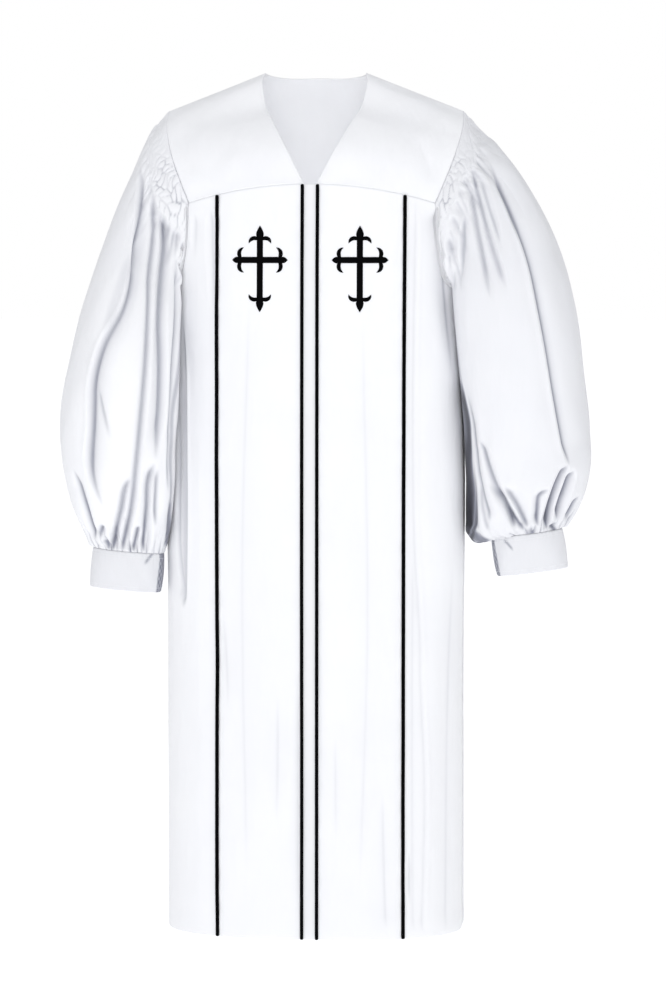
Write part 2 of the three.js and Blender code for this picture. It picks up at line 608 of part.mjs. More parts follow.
function piping(name, x) {
  const rings = steps(FRONT_ROWS).map((share) => PIPING_SECTION.map((point) => {
    const z = rowZ(frontSeamZ(x), share);
    const lift = PIPING_CLEARANCE + PIPING_RISE * point.rise;
    return frontAt(x + point.across * PIPING_WIDTH / 2, z, lift);
  }));
  const size = PIPING_SECTION.length;
  const position = rings.flatMap((ring) => ring.flatMap((p) => p.toArray()));
  const index = [];
  for (let i = 0; i < FRONT_ROWS; i += 1) {
    for (let j = 0; j < size; j += 1) {
      const next = (j + 1) % size;
      const here = i * size;
      const below = here + size;
      index.push(here + j, below + j, below + next, here + j, below + next, here + next);
    }
  }
  for (let j = 1; j < size - 1; j += 1) {
    const end = FRONT_ROWS * size;
    index.push(0, j, j + 1, end, end + j + 1, end + j);
  }
  return solid(name, position, index, blackCord);
}

// A thin plate laid over the front: flat triangles, lifted off the panel, with side faces.
function plate(name, points, triangles, material) {
  const position = [CROSS_CLEARANCE, CROSS_CLEARANCE + CROSS_THICKNESS]
    .flatMap((lift) => points.flatMap((p) => frontAt(p.x, p.z, lift).toArray()));
  const count = points.length;
  const index = [];
  const borders = new Map();
  for (const [a, b, c] of triangles) {
    index.push(a + count, b + count, c + count, c, b, a);
    for (const [from, to] of [[a, b], [b, c], [c, a]]) {
      if (!borders.delete(`${to},${from}`)) borders.set(`${from},${to}`, [from, to]);
    }
  }
  for (const [from, to] of borders.values()) {
    index.push(from, to, to + count, from, to + count, from + count);
  }
  return solid(name, position, index, material);
}

// A fleury cross: four bars from a middle square, each ending in a bud between two petals.
function cross(name, side) {
  const points = [];
  const triangles = [];
  const keys = new Map();
  const put = (arm, along, across) => {
    const x = side * CROSS_CENTRE.x + arm.dx * along + arm.dz * across;
    const z = CROSS_CENTRE.z + arm.dz * along - arm.dx * across;
    const key = `${x.toFixed(3)},${z.toFixed(3)}`;
    if (!keys.has(key)) keys.set(key, points.push({ x, z }) - 1);
    return keys.get(key);
  };
  const w = CROSS_BAR_HALF;
  const corners = [[-w, -w], [w, -w], [w, w], [-w, w]];
  const square = corners.map(([along, across]) => put(CROSS_ARMS[0], along, across));
  triangles.push([square[0], square[1], square[2]], [square[0], square[2], square[3]]);
  for (const arm of CROSS_ARMS) {
    const root = arm.length - arm.bud[0].back;
    const cuts = Math.ceil((root - w) / CROSS_STEP);
    for (let i = 0; i < cuts; i += 1) {
      const from = mix(w, root, i / cuts);
      const to = mix(w, root, (i + 1) / cuts);
      const [a, b] = [put(arm, from, -w), put(arm, to, -w)];
      const [c, d] = [put(arm, to, w), put(arm, from, w)];
      triangles.push([a, b, c], [a, c, d]);
    }
    const outline = [
      ...arm.bud.map((row) => new THREE.Vector2(arm.length - row.back, row.side)),
      new THREE.Vector2(arm.length, 0),
      ...arm.bud.toReversed().map((row) => new THREE.Vector2(arm.length - row.back, -row.side)),
    ];
    if (THREE.ShapeUtils.isClockWise(outline)) outline.reverse();
    const rim = outline.map((p) => put(arm, p.x, p.y));
    for (const face of THREE.ShapeUtils.triangulateShape(outline, [])) {
      triangles.push(face.map((i) => rim[i]));
    }
  }
  return plate(name, points, triangles, blackThread);
}

// ---------------------------------------------------------------- the whole robe
const LEFT = -1;
const RIGHT = 1;
const robe = new THREE.Group();
robe.add(
  backYoke('back_yoke'),
  frontYoke('front_yoke_left', LEFT),
  frontYoke('front_yoke_right', RIGHT),
  backPanel('back'),
  sideFront('front_side_left', LEFT),
  sideFront('front_side_right', RIGHT),
  centreFront('front_centre_left', LEFT),
  centreFront('front_centre_right', RIGHT),
  placket('zip_placket'),
  piping('piping_outer_left', -PIPING_OUTER_X),
  piping('piping_inner_left', -PIPING_INNER_X),
  piping('piping_inner_right', PIPING_INNER_X),
  piping('piping_outer_right', PIPING_OUTER_X),
  cross('cross_left', LEFT),
  cross('cross_right', RIGHT),
  sleeve('sleeve_left', LEFT, SLEEVE_LEFT, SLEEVE_FOLDS_LEFT),
  sleeve('sleeve_right', RIGHT, SLEEVE_RIGHT, SLEEVE_FOLDS_RIGHT),
  cuff('cuff_left', LEFT, SLEEVE_LEFT, 1),
  cuff('cuff_right', RIGHT, SLEEVE_RIGHT, 2),
);

export default robe;
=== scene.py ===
# %% [markdown]
# # A white pulpit robe
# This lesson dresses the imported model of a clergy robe: white cloth with a shirred sleeve
# head and gathered cuffs, four black pipings down the front and two embroidered crosses.
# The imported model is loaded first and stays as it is. Every piece below is made around it,
# in the same place and to the same sizes.

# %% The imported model
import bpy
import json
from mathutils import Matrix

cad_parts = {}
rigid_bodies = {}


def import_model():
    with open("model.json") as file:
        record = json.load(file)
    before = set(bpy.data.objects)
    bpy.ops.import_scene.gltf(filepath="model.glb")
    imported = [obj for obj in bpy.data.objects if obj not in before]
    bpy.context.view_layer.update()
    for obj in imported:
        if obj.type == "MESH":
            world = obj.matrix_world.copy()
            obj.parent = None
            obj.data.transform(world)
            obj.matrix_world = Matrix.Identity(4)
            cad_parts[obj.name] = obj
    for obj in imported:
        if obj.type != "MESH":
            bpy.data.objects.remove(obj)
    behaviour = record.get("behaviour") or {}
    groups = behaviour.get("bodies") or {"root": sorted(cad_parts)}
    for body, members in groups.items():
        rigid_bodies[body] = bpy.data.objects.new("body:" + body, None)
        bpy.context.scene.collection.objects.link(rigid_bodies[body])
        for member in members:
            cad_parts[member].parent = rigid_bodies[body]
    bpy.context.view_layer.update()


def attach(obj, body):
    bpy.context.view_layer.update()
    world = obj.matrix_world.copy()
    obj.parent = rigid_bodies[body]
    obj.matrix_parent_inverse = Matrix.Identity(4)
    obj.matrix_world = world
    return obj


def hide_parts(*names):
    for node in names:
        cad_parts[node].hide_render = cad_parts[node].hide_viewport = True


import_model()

import json
import math

import bpy
import numpy as np

# %% [markdown]
# ## Sizes
# All the lengths below are in millimetres, as a tailor would write them, and become metres
# only when a mesh is made. They are the values that the solids were made from, except deep
# in the folds beside the sleeves, so a cloth made from them covers its solid unfitted.

# %% Sizes of the cloth, the seams and the trim
MM = 0.001
CLOTH = 2.0                      # thickness of the cloth with its facing
HALF_GAP = 0.2                   # half the air between two pieces at a seam
HEM_Z = -1250.0
ROUNDNESS = 0.8                  # exponent of the body's rounded section
SPINE_SHARE = 0.6
PIPING_INNER_X = 11.0
PIPING_OUTER_X = 137.0
PIPING_HALF = 2.5
PLACKET_SINK = 0.8
NECK_X, NECK_Z = 75.0, 30.0
TIP_X, TIP_Z = 219.0, -26.0
V_BOTTOM_X = 8.9
YOKE_CORNER_X = 182.0
BACK_SEAM_Z = -150.0
BACK_NECK_Y = 56.0
UNDERARM_Z = -290.0
CUFF_HEIGHT = 58.0
BAND_WIDTH = 27.0                # usual width of the shirred band at the sleeve head

BODY_Z = [-100, -163, -290, -400, -520, -800, HEM_Z]
BODY_HALF = [226, 225, 216, 219, 222.5, 222.5, 222.5]
BODY_FRONT = [103, 107, 115, 118, 120, 123, 128]
BODY_BACK = [96, 99, 108, 113, 117, 124, 136]

# %% [markdown]
# ## Curves
# A garment has few straight lines. `through` lays a smooth curve through a short list of
# values, which is what a tailor does with a flexible ruler. NumPy works on whole arrays of
# points at once, and that keeps a mesh of a hundred thousand points quick to make.

# %% Small helpers
def mix(a, b, share):
    return a + (b - a) * share


def smooth(value):
    value = np.clip(value, 0, 1)
    return value * value * (3 - 2 * value)


def points(x, y, z):
    return np.stack(np.broadcast_arrays(x, y, z), axis=-1).astype(float)


def placed(name, data):
    """An object that shows this data, added to the scene."""
    made = bpy.data.objects.new(name, data)
    bpy.context.scene.collection.objects.link(made)
    return made


def unit(vectors):
    length = np.linalg.norm(vectors, axis=-1, keepdims=True)
    return vectors / np.maximum(length, 1e-9)


def through(knots, values):
    """A smooth curve through values at rising or falling knots, level beyond its ends."""
    knots, values = np.asarray(knots, float), np.asarray(values, float)
    if knots[0] > knots[-1]:
        knots, values = knots[::-1], values[::-1]
    slopes = np.gradient(values, knots, axis=0)

    def read(at):
        at = np.clip(np.asarray(at, float), knots[0], knots[-1])
        i = np.clip(np.searchsorted(knots, at, side="right") - 1, 0, len(knots) - 2)
        gap = knots[i + 1] - knots[i]
        u = (at - knots[i]) / gap
        if values.ndim == 2:
            gap, u = gap[..., None], u[..., None]
        start = (1 + 2 * u) * (1 - u) ** 2 * values[i] + u * (1 - u) ** 2 * gap * slopes[i]
        return start + u * u * (3 - 2 * u) * values[i + 1] - u * u * (1 - u) * gap * slopes[i + 1]

    return read


half_at = through(BODY_Z, BODY_HALF)
front_at = through(BODY_Z, BODY_FRONT)
back_at = through(BODY_Z, BODY_BACK)
print("half width and front depth at the waist:", float(half_at(-520)), float(front_at(-520)))

# %% [markdown]
# ## Camera
# The camera comes early, because the folds below are laid down as an eye in front of the
# robe sees them. It stands a little to the right and a little above, far away, so that
# the robe shows hardly any perspective.

# %% Camera
CAMERA_TURN = math.radians(4.4)
CAMERA_TILT = math.radians(4.7)
CAMERA_DISTANCE = 5500.0
CAMERA_AIM = np.array([25.6, 0.0, -607.0])
away = np.array([
    math.sin(CAMERA_TURN) * math.cos(CAMERA_TILT),
    -math.cos(CAMERA_TURN) * math.cos(CAMERA_TILT),
    math.sin(CAMERA_TILT),
])
EYE = CAMERA_AIM + CAMERA_DISTANCE * away

lens = bpy.data.cameras.new("camera")
lens.lens = 132.0
lens.sensor_width = 36.0
lens.clip_end = 100.0
camera = placed("camera", lens)
camera.location = [float(v) * MM for v in EYE]
camera.rotation_euler = (math.radians(90) - CAMERA_TILT, 0, CAMERA_TURN)
bpy.context.scene.camera = camera
print("camera at", [round(v, 3) for v in camera.location])

# %% [markdown]
# ## Folds
# A fold in cloth is a soft ridge beside a sharp valley. Each fold here is a stroke: a few
# points down a line, how deep it goes, how quickly it opens to its left and right, and a
# lip that stands up beside it. The strokes are drawn on the upright plane through the
# shoulders, as seen from the front, and pushed on to the cloth along the line of sight.
# A sculpt brush would do the same by hand; strokes in a table can be read and changed.
# Each stroke also paints shade into the cloth's colour along its valley, darker the deeper it is.

# %% Where a point of the robe is seen, and how far it is from a stroke
def seen(p):
    """Where the line from the eye through each point meets the plane y = 0: across and up."""
    t = EYE[1] / (EYE[1] - p[..., 1])
    return EYE[0] + t * (p[..., 0] - EYE[0]), EYE[2] + t * (p[..., 2] - EYE[2])


def smooth_path(path, step=9.0):
    """The stroke's points, joined by a smooth line and set out at even steps."""
    path = np.asarray(path, float)
    along = np.concatenate([[0], np.cumsum(np.linalg.norm(np.diff(path, axis=0), axis=1))])
    if len(path) < 3:
        middle = path.mean(axis=0)
        path, along = np.array([path[0], middle, path[1]]), np.array([0, along[-1] / 2, along[-1]])
    return through(along, path)(np.linspace(0, along[-1], max(4, int(along[-1] / step))))


def beside_path(x, z, path):
    """Signed distance to a line (positive to its right as seen), and the way along it."""
    a, b = path[:-1], path[1:]
    way = b - a
    size = np.linalg.norm(way, axis=1)
    start = np.concatenate([[0], np.cumsum(size)])
    best = np.full(x.shape, 1e9)
    side = np.zeros(x.shape)
    along = np.zeros(x.shape)
    for i in range(len(a)):
        dx, dz = x - a[i, 0], z - a[i, 1]
        t = np.clip((dx * way[i, 0] + dz * way[i, 1]) / size[i] ** 2, 0, 1)
        distance = np.hypot(dx - t * way[i, 0], dz - t * way[i, 1])
        nearer = distance < best
        best = np.where(nearer, distance, best)
        side = np.where(nearer, dz * way[i, 0] - dx * way[i, 1], side)
        along = np.where(nearer, start[i] + t * size[i], along)
    return best * np.where(side < 0, -1, 1), along, start[-1]


BLUNT = 2.0                      # roundness of the bottom of a fold
# These set the painted shade of a fold: its darkest line, and the depth at which the shade is fullest.
CORE = 2.0                       # half width of the darkest line in a fold
FULL_DEPTH = 10.0                # a fold this deep is as dark as folds get


def near_path(x, z, line, reach):
    """Whether each seen place is inside the line's box, grown by a reach."""
    near = (x > line[:, 0].min() - reach) & (x < line[:, 0].max() + reach)
    return near & (z > line[:, 1].min() - reach) & (z < line[:, 1].max() + reach)


def shaded(x, z, shades):
    """How deep in shade each seen place is, from soft-edged strokes that don't move the cloth."""
    depth = np.zeros(x.shape)
    for path, half, amount, fade_in, fade_out in shades:
        line = smooth_path(path)
        near = near_path(x, z, line, 4 * half)
        if near.any():
            d, along, length = beside_path(x[near], z[near], line)
            strength = smooth(along / fade_in) * smooth((length - along) / fade_out)
            depth[near] = np.maximum(depth[near], amount * strength * np.exp(-np.abs(d / half) ** 3))
    return depth


def folded(x, z, strokes):
    """Height that strokes give the cloth at each seen place, and the painted shade in its crease."""
    height, crease_shade = np.zeros(x.shape), np.zeros(x.shape)
    for path, depth, left, right, lip, lip_side, fade_in, fade_out in strokes:
        line = smooth_path(path)
        near = near_path(x, z, line, 5 * max(left, right))
        if not near.any():
            continue
        d, along, length = beside_path(x[near], z[near], line)
        strength = smooth(along / fade_in) * smooth((length - along) / fade_out)
        width = np.where(d < 0, left, right) * (0.45 + 0.55 * strength)
        valley = np.exp(-(np.sqrt(d * d + BLUNT ** 2) - BLUNT) / (1.25 * width))
        crest = np.exp(-((d - lip_side * 1.9 * width) / (1.25 * width)) ** 2)
        height[near] += strength * (lip * crest - depth * valley)
        core = 0.85 * np.exp(-np.abs(d / CORE) ** 1.6) + 0.3 * np.exp(-np.abs(d) / (1.2 * width))
        crease_shade[near] = np.maximum(crease_shade[near], strength ** 0.6 * core * np.clip(depth / FULL_DEPTH, 0, 1))
    return height, np.clip(crease_shade, 0, 1)


def fan(starts, first_way, last_way, count, seed, depth, length):
    """Short strokes that leave a row of stitching side by side and spread as they fall."""
    chance = np.random.default_rng(seed)
    line = smooth_path(starts, 3.0)
    made = []
    for k in range(count):
        share = np.clip((k + 0.5 + chance.uniform(-0.38, 0.38)) / count, 0, 1)
        start = line[int(share * (len(line) - 1))]
        heading = mix(np.array(first_way, float), np.array(last_way, float), share)
        way = unit(heading + chance.uniform(-0.07, 0.07, 2))
        reach = length * chance.uniform(0.35, 1.5)
        bend = chance.uniform(-0.05, 0.05) * reach
        middle = start + way * reach / 2 + np.array([bend, 0])
        wide, side = chance.uniform(2.6, 4.2), chance.choice([-1, 1])
        deep = depth * chance.uniform(0.55, 1.25) * mix(0.45, 1, smooth(share / 0.35))
        made.append(([tuple(start), tuple(middle), tuple(start + way * reach)],
                     deep, wide, wide * 1.3, 0.5 * deep, side, 5, 0.75 * reach))
    return made


# Each stroke: points, depth, width left, width right, lip, side of the lip, fade in, fade out.
LEFT_SLEEVE_STROKES = [
    ([(-263, -103), (-267, -212), (-288, -316), (-323, -377), (-336, -419), (-340, -498), (-342, -566),
      (-321, -623)], 14, 3.5, 10, 4, -1, 60, 90),
    ([(-333, -436), (-321, -481), (-310, -518)], 6, 5, 2.5, 2, 1, 25, 45),
    ([(-246, -139), (-243, -185), (-249, -290), (-254, -372), (-260, -444), (-271, -550), (-282, -633),
      (-295, -686)], 10, 2.5, 4.5, 3, 1, 40, 12),
    ([(-228, -150), (-225, -238), (-231, -341), (-230, -425), (-234, -497), (-242, -550)],
     16, 8, 3.5, 4, 1, 40, 60),
    ([(-209, -240), (-208, -300), (-212, -380), (-217, -488), (-222, -601)], 8, 3, 4, 3, -1, 50, 60),
    ([(-366, -561), (-351, -617), (-335, -670)], 8, 3, 6, 4, 1, 30, 12),
    ([(-280, -576), (-288, -590), (-297, -630), (-305, -662), (-309, -686)], 11, 2.5, 6, 4, -1, 16, 8),
    ([(-242, -552), (-252, -580), (-255, -624), (-262, -686)], 13, 3, 6, 4, 1, 22, 10),
    ([(-238, -560), (-241, -600), (-243, -650)], 8, 2.5, 4, 3, -1, 22, 25),
    ([(-322, -645), (-329, -668)], 9, 2.5, 4, 3, 1, 8, 12),
    ([(-268, -650), (-272, -668), (-278, -686)], 9, 3, 4, 3, 1, 10, 6),
    ([(-320, -668), (-312, -684)], 7, 2.5, 3, 2, 1, 6, 6),
    ([(-211, -598), (-217, -650), (-225, -684)], 12, 3, 2.5, 2, 1, 40, 5),
]
RIGHT_SLEEVE_STROKES = [
    ([(254, -93), (295, -175), (321, -247), (334, -308), (348, -381), (361, -452), (374, -526), (380, -557)],
     13, 4, 10, 4, -1, 60, 40),
    ([(378, -552), (366, -580), (350, -630), (346, -650)], 17, 3, 2.5, 5, 1, 14, 8),
    ([(387, -560), (378, -588), (369, -613), (362, -640)], 16, 3.5, 3, 4, 1, 14, 20),
    ([(231, -104), (254, -206), (275, -268), (288, -299)], 9, 2.5, 5, 4, 1, 30, 50),
    ([(242, -114), (262, -185), (280, -237)], 7, 2.5, 5, 3, 1, 30, 60),
    ([(262, -112), (296, -190), (312, -232)], 6, 2.5, 4, 3, 1, 30, 60),
    ([(228, -135), (252, -268), (262, -314)], 9, 3, 4, 3, -1, 30, 60),
    ([(221, -180), (218, -230), (216, -290)], 8, 3, 4, 3, -1, 20, 60),
    ([(244, -517), (258, -560), (275, -600), (300, -640), (314, -653)], 10, 3, 6, 4, 1, 14, 8),
    ([(256, -580), (285, -618), (300, -650)], 13, 2.5, 3, 4, -1, 30, 8),
    ([(281, -585), (303, -618), (318, -648)], 11, 3, 6, 4, -1, 16, 8),
    ([(352, -590), (336, -602), (334, -622), (332, -646)], 10, 6, 3, 3, -1, 16, 10),
    ([(396, -598), (388, -616), (376, -640)], 9, 3, 4, 3, 1, 14, 10),
    ([(352, -643), (362, -655)], 12, 4, 4, 3, 1, 5, 5),
    ([(226, -440), (232, -520), (240, -575), (262, -640)], 8, 3, 7, 3, 1, 60, 16),
    ([(218, -420), (221, -500), (226, -590), (232, -664)], 7, 6, 7, 0, 1, 120, 5),
    ([(224, -540), (230, -600), (238, -655)], 6, 6, 6, 2, 1, 60, 8),
    ([(238, -560), (244, -610), (258, -655)], 5, 3, 5, 2, 1, 40, 10),
    ([(252, -52), (332, -185), (362, -241)], -4, 8, 8, 0, 1, 30, 50),
]
# The hidden halves of the sleeves fold in the same way, in places of their own.
LEFT_SLEEVE_BACK_STROKES = [
    ([(-262, -112), (-285, -230), (-318, -350), (-330, -470), (-322, -590)], 15, 11, 8, 5, 1, 60, 90),
    ([(-240, -140), (-246, -300), (-262, -450), (-284, -600), (-297, -684)], 12, 6, 5, 4, -1, 50, 30),
    ([(-226, -190), (-226, -340), (-236, -500), (-250, -620)], 14, 8, 8, 4, 1, 60, 60),
    ([(-350, -560), (-336, -620), (-322, -672)], 10, 7, 6, 4, -1, 30, 16),
    ([(-300, -560), (-302, -620), (-306, -684)], 9, 6, 6, 3, 1, 30, 14),
    ([(-262, -590), (-264, -640), (-270, -686)], 10, 6, 6, 3, -1, 30, 14),
]
RIGHT_SLEEVE_BACK_STROKES = [
    ([(262, -100), (306, -220), (340, -350), (358, -470), (366, -560)], 14, 8, 10, 5, -1, 60, 60),
    ([(246, -130), (268, -260), (286, -400), (300, -500)], 11, 6, 6, 4, 1, 50, 90),
    ([(232, -180), (240, -330), (250, -470), (272, -600), (296, -650)], 13, 8, 8, 4, -1, 60, 30),
    ([(372, -556), (352, -612), (338, -648)], 10, 6, 6, 4, 1, 30, 14),
    ([(318, -560), (322, -610), (322, -652)], 9, 6, 6, 3, -1, 30, 14),
    ([(256, -560), (276, -616), (292, -652)], 10, 6, 6, 3, 1, 30, 14),
]
BODY_STROKES = [
    ([(-201, -320), (-199, -400), (-198, -476), (-197, -608), (-198, -699), (-200, -770)],
     6, 6, 2.5, 3, 1, 110, 30),
    ([(-209, -440), (-209, -560), (-209, -690), (-201, -768)], 4, 1.5, 3, 1, -1, 90, 12),
    ([(149, -151), (150, -696), (157, -810), (158, -878), (163, -984), (165, -1060), (163, -1151),
      (160, -1262)], 1.4, 5, 3, 1.2, 1, 60, 20),
    ([(147, -640), (146, -900), (147, -1262)], 1.2, 4, 6, 0, 1, 160, 20),
    ([(142, -1136), (142, -1220)], 2.0, 3, 4, 0.8, 1, 30, 30),
    ([(-157, -172), (-153, -341)], 2.2, 5, 4, 1, -1, 20, 90),
    ([(-181, -178), (-182, -250)], 2.0, 5, 5, 1, -1, 15, 50),
    ([(-172, -420), (-176, -900), (-178, -1262)], -2.2, 18, 18, 0, 1, 150, 60),
    ([(205, -700), (200, -900), (196, -1262)], 1.6, 14, 12, 1.0, -1, 150, 40),
    ([(178, -172), (190, -240), (196, -300), (203, -420)], 5.5, 12, 8, 2, -1, 16, 110),
    ([(4, -700), (5, -834), (6, -1001), (5, -1120)], 0.7, 3, 3, 0, 1, 90, 90),
    ([(-27, -860), (-28, -1240)], 1.6, 7, 5, 0.8, -1, 120, 120),
    ([(-58, -900), (-60, -1100)], 1.8, 16, 14, 0, 1, 80, 90),
    ([(-100, -300), (-112, -700), (-106, -1180)], 1.2, 22, 26, 0.6, 1, 160, 160),
    ([(70, -330), (78, -800), (66, -1200)], 1.2, 22, 22, 0.6, -1, 160, 160),
    ([(100, -1040), (106, -1255)], 1.8, 12, 12, 0.6, 1, 90, 20),
    ([(29, -960), (30, -1130)], 1.4, 10, 12, 0, 1, 70, 80),
    ([(-140, -780), (-133, -930)], 1.5, 10, 12, 0, 1, 60, 70),
]
LEFT_CUFF_STROKES = [([(-246, -688), (-253, -697), (-261, -708)], 9, 3, 3, 0, 1, 3, 9)]
RIGHT_CUFF_STROKES = [([(281, -665), (288, -671), (297, -683)], 8, 3, 3, 0, 1, 3, 9)]
# Places deep between two layers, where hardly any light comes: points, half width, amount, fades.
SLEEVE_SHADES = [
    ([(212, -400), (221, -470), (223, -540), (225, -610), (227, -690)], 2.8, 1.75, 60, 3),
    ([(227, -530), (230, -600), (232, -640), (235, -690)], 5.5, 1.3, 130, 3),
    ([(226, -652), (244, -664), (266, -674)], 6.0, 0.9, 10, 12),
    ([(-272, -225), (-289, -272), (-307, -326), (-322, -385)], 9.0, 0.25, 40, 60),
    ([(195, -250), (203, -300), (209, -360), (217, -430), (223, -490)], 1.8, 0.6, 30, 40),
    ([(-200, -300), (-206, -400), (-212, -481), (-217, -580), (-222, -640)], 1.6, 0.6, 60, 30),
    ([(-219, -600), (-221, -640), (-225, -684)], 2.6, 0.95, 20, 4),
]
BODY_SHADES = [
    ([(-202, -380), (-201, -476), (-200, -608), (-201, -700), (-202, -764)], 5.0, 0.4, 90, 20),
]
print("strokes on the left sleeve:", len(LEFT_SLEEVE_STROKES), "and on the body:", len(BODY_STROKES))

# %% [markdown]
# ## Closed shells
# Cloth with only one side has no thickness at its hem and lets light through at its seams.
# So each piece is an outer grid of points, an inner grid behind it and narrow rims that
# join them. The inner grid may be half as dense where nobody looks. The signed volume of
# the closed shell tells whether its faces point outwards, and turns them if they don't.

# %% From two grids of points to one closed mesh
def zipped(a, b):
    """Faces between two rows of point numbers, where row a may be twice as dense as row b."""
    if len(a) == len(b):
        return [(a[k], a[k + 1], b[k + 1], b[k]) for k in range(len(a) - 1)]
    faces = []
    for k in range(len(b) - 1):
        p, q, r = a[2 * k], a[2 * k + 1], a[2 * k + 2]
        faces += [(p, q, b[k]), (q, b[k + 1], b[k]), (q, r, b[k + 1])]
    return faces


def grid_faces(number):
    """Faces of a grid of point numbers."""
    a, b, c, d = number[:-1, :-1], number[1:, :-1], number[1:, 1:], number[:-1, 1:]
    return np.stack([a, b, c, d], axis=-1).reshape(-1, 4).tolist()


def shell_faces(a, b, ring=False):
    """Faces of both sides of a shell and of the rims between them, from two grids of point numbers."""
    faces = grid_faces(a) + grid_faces(b[:, ::-1])
    faces += zipped(a[0].tolist(), b[0].tolist())
    faces += [f[::-1] for f in zipped(a[-1].tolist(), b[-1].tolist())]
    if not ring:
        faces += [f[::-1] for f in zipped(a[:, 0].tolist(), b[:, 0].tolist())]
        faces += zipped(a[:, -1].tolist(), b[:, -1].tolist())
    return faces


def plain_mesh(name, co, faces, uv, crease_shade=None):
    """A mesh object from millimetre points, with its faces turned outwards."""
    volume = 0.0
    for size in (3, 4):
        some = np.array([f for f in faces if len(f) == size], int).reshape(-1, size)
        for i in range(1, size - 1):
            a, b, c = co[some[:, 0]], co[some[:, i]], co[some[:, i + 1]]
            volume += float(np.einsum("ij,ij->i", a, np.cross(b, c)).sum())
    if volume < 0:
        faces = [tuple(reversed(f)) for f in faces]
    mesh = bpy.data.meshes.new(name)
    mesh.from_pydata((co * MM).tolist(), [], faces)
    corner = np.empty(len(mesh.loops), np.int32)
    mesh.loops.foreach_get("vertex_index", corner)
    layer = mesh.uv_layers.new(name="cloth")
    layer.data.foreach_set("uv", (uv[corner] * MM).astype(np.float32).ravel())
    # The cloth's painted shade is kept on each point for the finish to read.
    depth = mesh.attributes.new("crease_shade", "FLOAT", "POINT")
    if crease_shade is not None:
        depth.data.foreach_set("value", crease_shade.astype(np.float32).ravel())
    mesh.polygons.foreach_set("use_smooth", [True] * len(mesh.polygons))
    mesh.update()
    print(name, len(faces), "faces")
    return placed(name, mesh)


def along_rows(grid):
    """Length along the grid from its first row, and from its first column."""
    down = np.linalg.norm(np.diff(grid, axis=0), axis=-1)
    across = np.linalg.norm(np.diff(grid, axis=1), axis=-1)
    v = np.concatenate([np.zeros((1, grid.shape[1])), np.cumsum(down, axis=0)])
    u = np.concatenate([np.zeros((grid.shape[0], 1)), np.cumsum(across, axis=1)], axis=1)
    return u, v


def shell(name, outer, inner, ring=False, crease_shade=None):
    """A closed piece of cloth between an outer and an inner grid; a ring closes on itself."""
    def close(grid):
        return np.concatenate([grid, grid[:, :1]], axis=1) if ring else grid

    u, v = along_rows(close(outer))
    flat = np.stack([np.broadcast_to(u.mean(axis=0), u.shape), v], axis=-1)
    rows, cols = outer.shape[:2]
    first = np.arange(rows * cols).reshape(rows, cols)
    second = rows * cols + np.arange(inner.shape[0] * inner.shape[1]).reshape(inner.shape[:2])
    faces = shell_faces(close(first), close(second), ring)
    step = (rows - 1) // (inner.shape[0] - 1)
    outer_flat = flat[:, :cols].reshape(-1, 2)
    inner_flat = flat[::step, :cols][:, ::step].reshape(-1, 2)
    co = np.concatenate([outer.reshape(-1, 3), inner.reshape(-1, 3)])
    shade = np.zeros(len(co))
    if crease_shade is not None:
        shade[:rows * cols] = crease_shade.ravel()
    return plain_mesh(name, co, faces, np.concatenate([outer_flat, inner_flat]), shade)


# %% [markdown]
# A seam pulls its cloth in, so a piece sinks a little at each edge and its last rows lie
# close together. `shares` sets out even rows with a few extra ones at both ends, and
# `edge_sink` gives the depth of the groove at a distance from the seam.

# %% Rows that crowd at the edges, and the groove beside a seam
EDGE_STEPS = np.array([0.0, 0.35, 0.9, 1.7, 2.8])
SEAM_REACH = 3.2


def shares(count, length, power=1.0):
    """Places from 0 to 1 over a length in millimetres, with extra ones near both ends."""
    even = np.linspace(0, 1, count + 1) ** power
    near = EDGE_STEPS / length
    inside = even[(even > near[-1] * 1.3) & (even < 1 - near[-1] * 1.3)]
    return np.concatenate([near, inside, 1 - near[::-1]])


def edge_sink(distance, depth=0.9):
    return depth * np.clip(1 - distance / SEAM_REACH, 0, 1) ** 2


def waves(a, b, terms):
    """Gentle unevenness: a sum of long waves in two directions, of different lengths."""
    return sum(size * np.sin(a / la + b / lb + turn) for size, la, lb, turn in terms)


# Size, wavelengths in the two directions, and turn.
CALM = [
    (0.3, 47, 160, 0.4), (0.22, -31, 95, 1.9), (0.14, 19, -61, 4.1), (0.08, 11, 37, 2.6),
    (0.05, -7.3, 23, 5.2),
]
print("extra rows at an edge:", len(EDGE_STEPS))

# %% [markdown]
# ## The form of the body
# Seen from above, the robe's body is a rounded rectangle, wider than it is deep. A point
# of it is given by a turn (0 in the middle of the front, a quarter at the side seam) and a
# height. The folds move it outwards, away from the spine.

# %% Body surface
def section_point(turn, z):
    side, fore = np.sin(turn), np.cos(turn)
    depth = np.where(fore > 0, front_at(z), back_at(z))
    x = half_at(z) * np.sign(side) * np.abs(side) ** ROUNDNESS
    return points(x, -depth * np.sign(fore) * np.abs(fore) ** ROUNDNESS, z)


def turn_at(x, z):
    share = np.minimum(1, np.abs(x) / half_at(z))
    return np.sign(x) * np.arcsin(share ** (1 / ROUNDNESS))


def to_spine(p):
    return unit(points(-SPINE_SHARE * p[..., 0], -p[..., 1], 0))


def front_seam_z(x):
    return -134.5 - 0.00085 * x * x


CORNER_Z = float(front_seam_z(YOKE_CORNER_X))


def back_seam_z(x):
    return mix(BACK_SEAM_Z, CORNER_Z, (x / YOKE_CORNER_X) ** 2)


FLUTE_SIZE = [1.0, 0.75, 1.2, 0.9, 1.15, 0.8, 1.05, 1.25, 0.7, 1.1, 0.85, 1.15, 0.95, 1.0]
FLUTES = len(FLUTE_SIZE) - 1     # the last flute is the first again
FLUTE_DEPTH = 8.0


